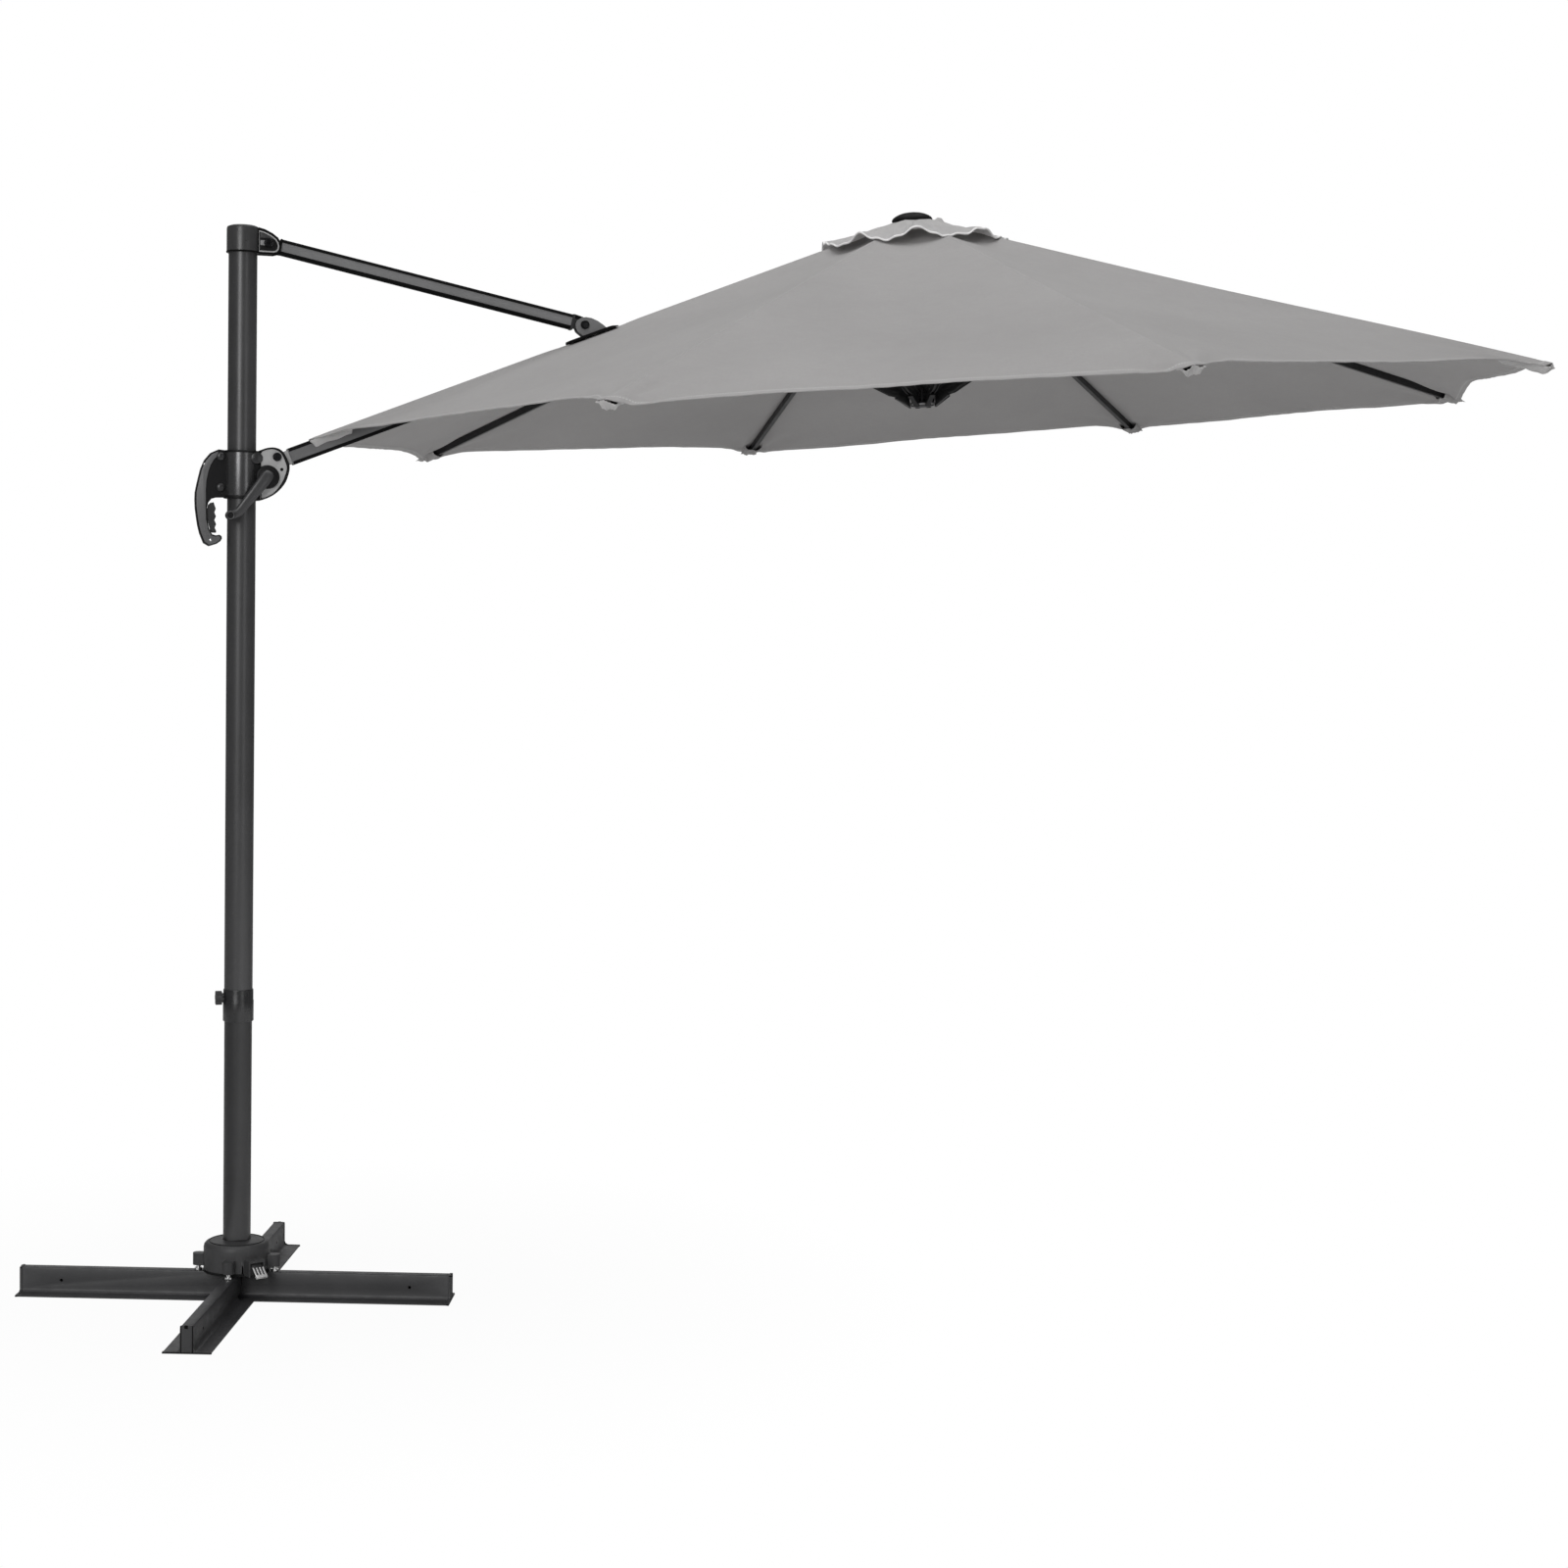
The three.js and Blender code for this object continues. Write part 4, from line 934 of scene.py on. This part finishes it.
for side, f in zip("ab", both(row_p)):
    Build(f).frame([(32.6, 2443), (32.6, 2411), (32.6, 2384.6), (50, 2384.6), (68.5, 2384.6), (77.6, 2387.2), (82.2, 2393.6), (83.6, 2403), (82, 2412.5), (76, 2422.4), (63.5, 2431.6), (47, 2439.4)], nose_out, -16.8, -19.6).done(f"nose_edge_{side}", "edge", "mast", "dark_plastic")
    Build(f).frame(nose_out, nose_in, -17.2, -19.2).done(f"nose_rim_{side}", "cover", "mast", "dark_plastic")
    Build(f).plate([(x, z) for x, z in nose_in], -17.2, -18.0, 0.2).done(f"nose_panel_{side}", "slider_dark", "mast", "dark_plastic")
    Build(f).plate([(37, 2431.5), (37, 2420), (56, 2420), (66, 2417), (61, 2423), (47, 2429)], -17.8, -19.0, 0.5).done(f"nose_web_{side}", "crank", "mast", "dark_plastic")
    Build(f).plate([(36, 2403), (36, 2414.5), (50, 2415), (56, 2417.5), (62, 2416), (65, 2409), (62, 2402), (56, 2400.5), (50, 2402.6)], -17.8, -20.2, 0.8).done(f"nose_link_{side}", "strut", "mast", "dark_plastic")
    Build(f).turned([(9.6, -20.0), (9.6, -22.4), (8.6, -23.6), (5.2, -24.2), (4.6, -23.4), (0, -23.4)], (A_PIN[0], 0, A_PIN[1]), "y", 32).done(f"nose_bolt_{side}", "bolt", "mast", "black_bolt")

# ------------------------------------------------------------------ strut and arm: near-black strips hugging the top and bottom of each tube, painted shade
def edge_section(half_w, z0, z1, r, top):
    """YZ section that hugs one edge of a rounded tube."""
    pts = []
    for sy, a0 in ((1, 0), (-1, 90)):
        for a in (0, 30, 60, 90):
            t = (a0 + a) * D2R
            pts.append((sy * (half_w - r) + r * math.cos(t), (z1 - r) + r * math.sin(t)))
    pts += [(-half_w, z0), (half_w, z0)]
    return pts if top else [(y, -z) for y, z in pts]


L_STRUT = math.hypot(B_PIN[0] - A_PIN[0], B_PIN[1] - A_PIN[1])
# painted shade: near-black strips laid over the top and bottom of the strut and arm tubes
for nm, top in (("upper", True), ("lower", False)):
    Build(strut_p).beam(edge_section(12.7, 10.0, 17.6, 5.2, top), 29, L_STRUT - 31.8).done(f"strut_edge_shade_{nm}", "edge", "strut", "alu_paint")
    sec = edge_section(14.7, 11.8, 19.7, 5.2, top)
    Build(lambda x, y, z: arm_p(x, y, z - 22)).beam(sec, 76, 1626).done(f"arm_edge_shade_{nm}", "edge", "arm", "alu_paint")
Build(strut_p).beam([(y * 1.0, z) for y, z in [(13.4, -12), (13.4, 12), (12, 16.4), (8, 18.2), (-8, 18.2), (-12, 16.4), (-13.4, 12), (-13.4, -12), (-12, -16.4), (-8, -18.2), (8, -18.2), (12, -16.4)]], 26.4, 31.4).done("strut_collar", "edge", "strut", "dark_plastic")

Build(strut_p).plate([(L_STRUT - 31, 9), (L_STRUT - 31, 18.4), (L_STRUT - 27, 19.2), (L_STRUT - 8, 17.6), (L_STRUT + 1, 15.4), (L_STRUT + 1, 9)], -9.4, 9.4, 1.0).done("strut_end_cap", "edge", "strut", "dark_plastic")
bx, bz = (APEX.x * 1000 - B_PIN[0]), (APEX.z * 1000 - B_PIN[1])
bx, bz = bx * math.cos(ARM_ANGLE) + bz * math.sin(ARM_ANGLE), bx * math.sin(ARM_ANGLE) - bz * math.cos(ARM_ANGLE)
foot = [(bx - 73, 0.4), (bx + 50.8, 0.4), (bx + 51.2, 4.4), (bx + 48.5, 7.2), (bx - 50, 7.2), (bx - 60, 6.2), (bx - 73, 2.2)]
Build(arm_p).plate(foot, -24.7, 24.7, 0.9).done("bracket_foot", "edge", "arm", "dark_plastic")
for side, f in zip("ab", both(arm_p)):
    Build(f).turned([(10.2, 12.8), (10.2, 17.4), (9.2, 18.8), (6.4, 19.3), (5.6, 18.5), (0, 18.5)], (bx, 0, bz), "y", 32).done(f"bracket_bolt_{side}", "bolt", "arm", "black_bolt")

# ------------------------------------------------------------------ slider: bright sleeve, handle grip band, buttons, cover rim
Build(row_p).hoop([(37.6, 1839), (39.0, 1839), (39.2, 1841), (39.2, 1935), (39.0, 1937), (37.6, 1937)], (0, 0, 0), "z", 72).done("slider_sleeve", "sleeve", "slider", "dark_plastic")
Build(row_p).hoop([(33.4, 1936.4), (39.6, 1936.4), (40.1, 1937.4), (40.1, 1940.2), (39.3, 1941.4), (33.4, 1941.4)], (0, 0, 0), "z", 72).hoop([(33.4, 1833.2), (39.3, 1833.2), (40.1, 1834.2), (40.1, 1838.2), (39.6, 1839.4), (33.4, 1839.4)], (0, 0, 0), "z", 72).done("slider_rings", "slider_dark", "slider", "dark_plastic")
band = [(-54, 1937.6), (-67.5, 1931.6), (-80, 1917), (-89.5, 1897.4), (-96.9, 1866.8), (-101.3, 1845), (-101.7, 1827.4), (-100.9, 1810), (-98.8, 1792.6), (-95.3, 1770.8), (-91, 1754.2), (-82.8, 1733.6), (-72.4, 1727), (-57, 1732.2), (-49.4, 1738), (-47, 1742.4), (-48.4, 1746), (-52, 1747.6),
        (-59, 1746), (-67.6, 1748.6), (-75, 1761.6), (-79.6, 1783.8), (-80.6, 1811), (-80.4, 1830), (-80.8, 1850), (-79.4, 1871), (-75.6, 1891), (-70, 1907), (-62.5, 1920), (-52.5, 1930)]
D_RIM = [(37.4, 1833), (37.4, 1941), (43.3, 1945), (56, 1949), (70, 1950), (82.8, 1946), (91, 1938.5), (98, 1926), (103.5, 1912), (103.8, 1900), (101, 1888), (96, 1874), (86, 1859), (72, 1845.5), (58, 1837), (45, 1831.5), (40, 1831)]
d_smooth = [(p.x, p.y) for p in smooth_path([Vector((x, z, 0)) for x, z in D_RIM[1:]], 3)]
d_in = []
for x, z in d_smooth:
    cx, cz = 62, 1890
    l = math.hypot(x - cx, z - cz)
    wide = lerp(4.0, 7.0, smoothstep(60, 100, x))
    d_in.append((max(39.4, x + (cx - x) * wide / l), z + (cz - z) * wide / l))
for side, f in zip("ab", both(row_p)):
    Build(f).plate(band, -11.6, -14.6, 1.3).done(f"handle_band_{side}", "grip_band", "slider", "dark_plastic")
    Build(f).frame(d_smooth, d_in, -27.6, -32.8, 1.0).done(f"cover_rim_{side}", "slider_dark", "slider", "dark_plastic")
    b = Build(f)
    for x, z in ((-48, 1927), (-48, 1857)):
        b.turned([(9.4, -11.6), (9.4, -14.0), (8.4, -16.0), (6.0, -17.4), (3.0, -18.1), (0, -18.3)], (x, 0, z), "y", 28)
    b.turned([(13.4, -27.8), (13.4, -34.2), (12.2, -36.2), (8.6, -37.4), (0, -37.8)], (30, 0, 1924.6), "y", 32)
    b.done(f"slider_buttons_{side}", "slider", "slider", "black_bolt")
    b = Build(f)
    b.turned([(2.6, -11.9), (2.6, -13.2), (1.6, -13.9), (0, -14.1)], (-84, 0, 1908), "y", 14)
    b.turned([(2.6, -14.2), (2.6, -15.2), (1.6, -15.9), (0, -16.1)], (-70, 0, 1738), "y", 14)
    b.done(f"slider_rivets_{side}", "bright", "slider", "bright_steel")
# painted shade: a near-black disc stands in for the small hole in the crank cover
Build(row_p).turned([(3.6, -31.0), (3.6, -31.8), (2.6, -32.1), (0, -31.7)], (86.4, 0, 1901), "y", 18).done("cover_hole_shade", "recess", "slider", "dark_plastic")
Build(row_p).turned([(9.7, -31.6), (9.7, -36.2), (8.6, -37.6), (5.4, -38.1), (4.8, -37.2), (0, -37.2)], (C_PIN[0], 0, C_PIN[1]), "y", 32).done("pivot_cap", "bolt", "slider", "black_bolt")

# ------------------------------------------------------------------ crank: boss with a stepped rim, tapered round arm, short dog-leg, ringed grip
boss = Build(row_p).turned([(25.6, -28.6), (26.2, -30), (26.2, -37), (25.0, -39.4), (22.0, -40.6), (20.6, -40.8), (19.8, -42.6), (15.0, -44.4), (8, -45.2), (0, -45.3)], (CRANK[0], 0, CRANK[1]), "y", 56).turned([(6, -28.8), (6, -10), (5.4, 12), (0, 12.2)], (CRANK[0], 0, CRANK[1]), "y", 24).done("crank_boss", "slider_dark", "crank", "steel_paint")
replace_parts(boss, "crank_handle")
arm_path = [(x, y, z, hw * 1.12, ht) for x, y, z, hw, ht in [(61, -44, 1895, 4, 2), (59, -44.4, 1892, 9.5, 4.6), (54.5, -45.2, 1886, 12.0, 6.4), (46, -46.6, 1875, 12.4, 7.0), (36, -48, 1862, 11.8, 7.0), (24, -49, 1846.5, 11.0, 6.8), (12, -49.6, 1831, 10.2, 6.6), (1, -49.8, 1817, 9.6, 6.4), (-5, -49.8, 1808.5, 9.6, 6.3), (-11, -49.8, 1801.5, 9.4, 6.2), (-20, -49.8, 1796.5, 8.6, 6.2), (-29, -49.8, 1793.6, 8.6, 6.2), (-36, -49.8, 1792, 7.6, 5.6), (-40, -49.8, 1791.2, 3.8, 3.4)]]
Build(row_p).bar(arm_path).done("crank_arm", "crank", "crank", "steel_paint", sharp=50)
grip = Build(row_p).turned([(7.8, -55.4), (9.2, -56), (10.3, -58), (10.6, -62), (10.4, -68), (10.5, -71), (9.6, -71.6), (9.6, -72.6), (10.6, -73.2), (10.6, -75), (9.6, -76.2), (6.4, -76.6), (5.4, -75.6), (0, -75.4)], (GRIP[0], 0, GRIP[1]), "y", 36).done("grip_body", "slider_dark", "grip", "dark_plastic")
Build(row_p).hoop([(6.8, -75.6), (6.8, -77.2), (8.2, -77.8), (9.6, -77.0), (9.9, -75.6)], (GRIP[0], 0, GRIP[1]), "y", 36).done("grip_ring", "crank", "grip", "dark_plastic")
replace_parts(grip, "crank_grip")

# ------------------------------------------------------------------ underside: rib 6 with its spring, channel stretchers, ringed runner; lock pedal plate and tread ribs
COS, SIN = math.cos(SLOPE), math.sin(SLOPE)
HX, HZ = 40 * COS + 23.4 * SIN, 40 * SIN - 23.4 * COS
J_RIB, J_ARM = (HX + 452.7, HZ - 14), (HX + 458.954, HZ - 42)
RUN = (32, -425)


def spring(k, x):
    """Rise of the ridge of spoke k above the straight line, mm, at x mm from the axis."""
    return 12.5 * smoothstep(550, 1450, x) if k == 6 else 0.0


def channel(f, x0, x1, half_w, lo, hi, lift=lambda x: 0.0, n=2):
    """An open-fronted channel section: web on top, two lipped sides, a groove down the middle of each side."""
    m = (lo + hi) / 2
    half = [(half_w - 1.6, hi), (half_w, hi - 1.4), (half_w, m + 2.2), (half_w - 0.9, m + 1.3), (half_w - 0.9, m - 1.3), (half_w, m - 2.2), (half_w, lo + 0.6), (half_w - 0.6, lo), (half_w - 2.0, lo), (half_w - 2.2, lo + 0.6), (half_w - 2.2, lo + 4.5)]
    ring = half + [(-y, z) for y, z in half[::-1]]
    return Build(f).rings([[(x, y, z + lift(x)) for y, z in ring] for x in [x0 + (x1 - x0) * i / n for i in range(n + 1)]])


L_RIB = 1470 / COS
rib6 = channel(rib_line(6), 58, L_RIB, 6.0, -18.0, -2.0, lambda x: spring(6, x * COS), 24)
rib6.turned([(7.9, -6), (7.9, 6)], (HX, 0, HZ), "y", 24).block(HX, 66, -5.9, 5.9, HZ - 7.9, HZ + 7.9, 0.4)
for y0, y1 in ((-7, -4.5), (4.5, 7)):
    rib6.plate([(J_RIB[0] - 9, -14), (J_RIB[0] + 9, -14), (J_RIB[0] + 6, J_RIB[1] - 4), (J_RIB[0] + 2, J_RIB[1] - 6), (J_RIB[0] - 2, J_RIB[1] - 6), (J_RIB[0] - 6, J_RIB[1] - 4)], y0, y1, 0.4)
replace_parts(rib6.done("rib_channel_6", "channel", "rib_6_body", "alu_paint"), "rib_6")
for k in range(1, 9):
    jx, jz = J_RIB if k > 1 else J_ARM
    tx, tz = jx * COS + jz * SIN, -jx * SIN + jz * COS
    dx, dz = tx - RUN[0], tz - RUN[1]
    length = math.hypot(dx, dz)
    ca, sa = dx / length, dz / length
    f = lambda x, y, z, k=k, ca=ca, sa=sa: spoke(k)(RUN[0] + x * ca - z * sa, y, RUN[1] + x * sa + z * ca)
    piece, rows = Build(f), []
    for i in range(13):
        u = i / 12
        lo = -10.5 - 15.5 * (1 - smoothstep(0.45, 1.0, u)) * smoothstep(-0.02, 0.03, u)
        g1, g2 = -1.0, lo * 0.52 - 1.5
        half = [(4.8, 6.0), (6.4, 4.6), (6.4, g1 + 1.6), (5.5, g1 + 0.8), (5.5, g1 - 0.8), (6.4, g1 - 1.6), (6.4, g2 + 1.6), (5.5, g2 + 0.8), (5.5, g2 - 0.8), (6.4, g2 - 1.6), (6.4, lo + 0.7), (5.8, lo), (4.4, lo), (4.2, lo + 0.6), (4.2, lo + 4)]
        x = 7 + (length - 21) * u
        rows.append([(x, y, z) for y, z in half + [(-y, z) for y, z in half[::-1]]])
    piece.rings(rows).plate([(-14.4, -29.4), (2, -8), (30, -8), (30, -26.2)], -6.3, 6.3, 0.6)
    piece.turned([(4.6, -7.4), (5.4, -6.6), (5.4, 6.6), (4.6, 7.4)], (0, 0, 0), "y", 20).turned([(5.3, -3.9), (5.3, 3.9)], (length, 0, 0), "y", 20)
    piece.plate([(-5.5, -4), (0, -7.5), (12, -10.4), (12, 5.8), (0, 6.4), (-5, 3)], -6.0, -4.2, 0.4).plate([(-5.5, -4), (0, -7.5), (12, -10.4), (12, 5.8), (0, 6.4), (-5, 3)], 4.2, 6.0, 0.4)
    piece.plate([(length - 18, -6), (length - 4, -4.8), (length + 4, -3.6), (length + 4.6, 0), (length + 4, 3.6), (length - 4, 4.8), (length - 18, 5.6)], -3.8, 3.8, 0.5)
    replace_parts(piece.done(f"stretcher_channel_{k}", "channel", f"stretcher_{k}_body", "alu_paint"), f"stretcher_{k}")

runner = Build(c1).turned([(12, -397.5), (17.5, -397.8), (20, -400.5), (20, -404), (18.4, -405.5), (18.4, -408.5), (20, -410), (20, -438), (22.4, -440), (27.6, -443), (29.4, -446), (29.4, -452), (27.6, -455), (22, -456.5), (12, -457.5), (0, -457.6)], (0, 0, 0), "z", 56)
for i in range(8):
    a = math.pi / 8 + i * math.pi / 4
    q = Build(lambda x, y, z, a=a: (x * math.cos(a) - y * math.sin(a), x * math.sin(a) + y * math.cos(a), z)).block(17, 28.6, -2.2, 2.2, -443, -412, 0.6)
    runner.add(q.v, q.q)
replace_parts(runner.done("runner_body_ringed", "channel", "runner_body", "dark_plastic"), "runner")
Build(c1).hoop([(28.4, -447.4), (29.9, -447.9), (30.3, -450), (29.9, -452.1), (28.4, -452.6)], (0, 0, 0), "z", 56).done("runner_rim", "cover", "runner_body", "dark_plastic")


def pedal_p(x, y, z):
    a = -50 * D2R
    return base_p(x * math.cos(a) - y * math.sin(a), x * math.sin(a) + y * math.cos(a), z)


slope_x0, slope_z0, slope_x1, slope_z1 = 93.5, 91.5, 117.5, 69.0
on_tread = lambda u, lift: (slope_x0 + (slope_x1 - slope_x0) * u + 0.68 * lift, slope_z0 + (slope_z1 - slope_z0) * u + 0.73 * lift)
b = Build(pedal_p).turned([(3.6, -15.2), (4.8, -14.4), (4.8, 14.4), (3.6, 15.2)], (86, 0, 87), "y", 24)
b.plate([on_tread(-0.28, 0), on_tread(1.0, 0), on_tread(1.0, -2.6), on_tread(-0.28, -2.6)], -13, 13, 0.5)
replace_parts(b.done("pedal_plate", "crank", "pedal", "bright_steel"), "lock_pedal")
# tread ribs in the chrome paint, whose light colour is a painted reflection
b = Build(pedal_p)
for y in (-12.4, -4.4, 3.6, 11.6):
    b.plate([on_tread(0.30, 2.6), on_tread(1.0, 2.6), on_tread(1.06, -0.4), on_tread(0.30, -0.4)], y - 1.1, y + 1.9, 0.4)
b.plate([on_tread(0.93, 3.2), on_tread(1.12, 3.2), on_tread(1.12, -2.8), on_tread(0.93, -2.8)], -14, 14, 0.5)
b.done("pedal_ribs", "chrome", "pedal", "bright_steel")

# ------------------------------------------------------------------ camera, light, floor
cam = bpy.data.objects.new("camera", bpy.data.cameras.new("camera"))
bpy.context.scene.collection.objects.link(cam)
yaw, pitch, roll = 17.49 * D2R, -3.44 * D2R, 1.06 * D2R
fwd = Vector((math.sin(yaw) * math.cos(pitch), math.cos(yaw) * math.cos(pitch), math.sin(pitch)))
right = Vector((math.cos(yaw), -math.sin(yaw), 0))
up = right.cross(fwd)
rx = right * math.cos(roll) + up * math.sin(roll)
ry = -right * math.sin(roll) + up * math.cos(roll)
rot = Matrix((rx, ry, -fwd)).transposed()
cam.matrix_world = Matrix.Translation((-0.6564, -6.2197, 1.5762)) @ rot.to_4x4()
cam.data.sensor_width = 36
cam.data.lens = 61.73
cam.data.clip_end = 200
bpy.context.scene.camera = cam


def area(name, at, to, size, size_y, power):
    l = bpy.data.lights.new(name, "AREA")
    l.shape, l.size, l.size_y, l.energy = "RECTANGLE", size, size_y, power
    o = bpy.data.objects.new(name, l)
    bpy.context.scene.collection.objects.link(o)
    o.location = at
    o.rotation_mode = "QUATERNION"
    o.rotation_quaternion = (Vector(to) - Vector(at)).to_track_quat("-Z", "Y")
    return o


area("key", (-3.6, -6.6, 4.2), (0.6, 0, 1.6), 2.2, 4.5, 260)
area("fill", (3.5, -7.5, 2.2), (0.8, 0, 1.5), 1.6, 3.0, 40)
area("top", (1.2, -0.5, 7.5), (1.2, 0, 2.0), 7, 7, 330)
area("back", (1.5, 8.0, 4.0), (1.0, 0, 1.8), 6, 4, 60)
under = area("under", (1.5, -0.4, 0.25), (1.5, 0.2, 2.2), 3.2, 3.2, 20)
under.visible_camera = False

world = bpy.data.worlds.new("studio")
bpy.context.scene.world = world
world.use_nodes = True
wt = world.node_tree
wt.nodes.clear()
wo = wt.nodes.new("ShaderNodeOutputWorld")
seen, lit, mixer, path = wt.nodes.new("ShaderNodeBackground"), wt.nodes.new("ShaderNodeBackground"), wt.nodes.new("ShaderNodeMixShader"), wt.nodes.new("ShaderNodeLightPath")
seen.inputs[0].default_value, seen.inputs[1].default_value = (1, 1, 1, 1), 1.0
lit.inputs[0].default_value, lit.inputs[1].default_value = (1, 1, 1, 1), 0.17
wt.links.new(path.outputs["Is Camera Ray"], mixer.inputs[0])
wt.links.new(lit.outputs[0], mixer.inputs[1])
wt.links.new(seen.outputs[0], mixer.inputs[2])
wt.links.new(mixer.outputs[0], wo.inputs[0])

fm = Tree("floor_pale")
fm.link(fm.ramp(fm.noise(0.8, 3, 0.5), [(0.3, (0.76, 0.76, 0.76)), (0.7, (0.80, 0.80, 0.80))]), fm.b.inputs["Base Color"])
fm.set(Roughness=0.9, Specular_IOR_Level=0.1, Emission_Color=(1, 1, 1, 1), Emission_Strength=0.0)
glow = fm.n("ShaderNodeEmission")
glow.inputs[1].default_value = 1.0
far = fm.n("ShaderNodeVectorMath", operation="LENGTH")
fm.link(fm.n("ShaderNodeTexCoord").outputs["Object"], far.inputs[0])
seen_share = fm.math("MULTIPLY", fm.n("ShaderNodeLightPath").outputs["Is Camera Ray"], fm.remap(far.outputs["Value"], 0.45, 1.6, 0.95, 1.0))
blend_floor = fm.n("ShaderNodeMixShader")
fm.link(seen_share, blend_floor.inputs[0])
fm.link(fm.b.outputs[0], blend_floor.inputs[1])
fm.link(glow.outputs[0], blend_floor.inputs[2])
fm.link(blend_floor.outputs[0], fm.out.inputs["Surface"])
floor = mesh_object("floor", [(-80, -80, 0), (80, -80, 0), (80, 80, 0), (-80, 80, 0)], [(0, 1, 2, 3)], fm.m, None, smooth=False, recalc=False)
floor.location.z = -0.0005
floor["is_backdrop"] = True
bpy.context.scene.view_settings.view_transform = "Standard"

lo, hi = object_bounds()
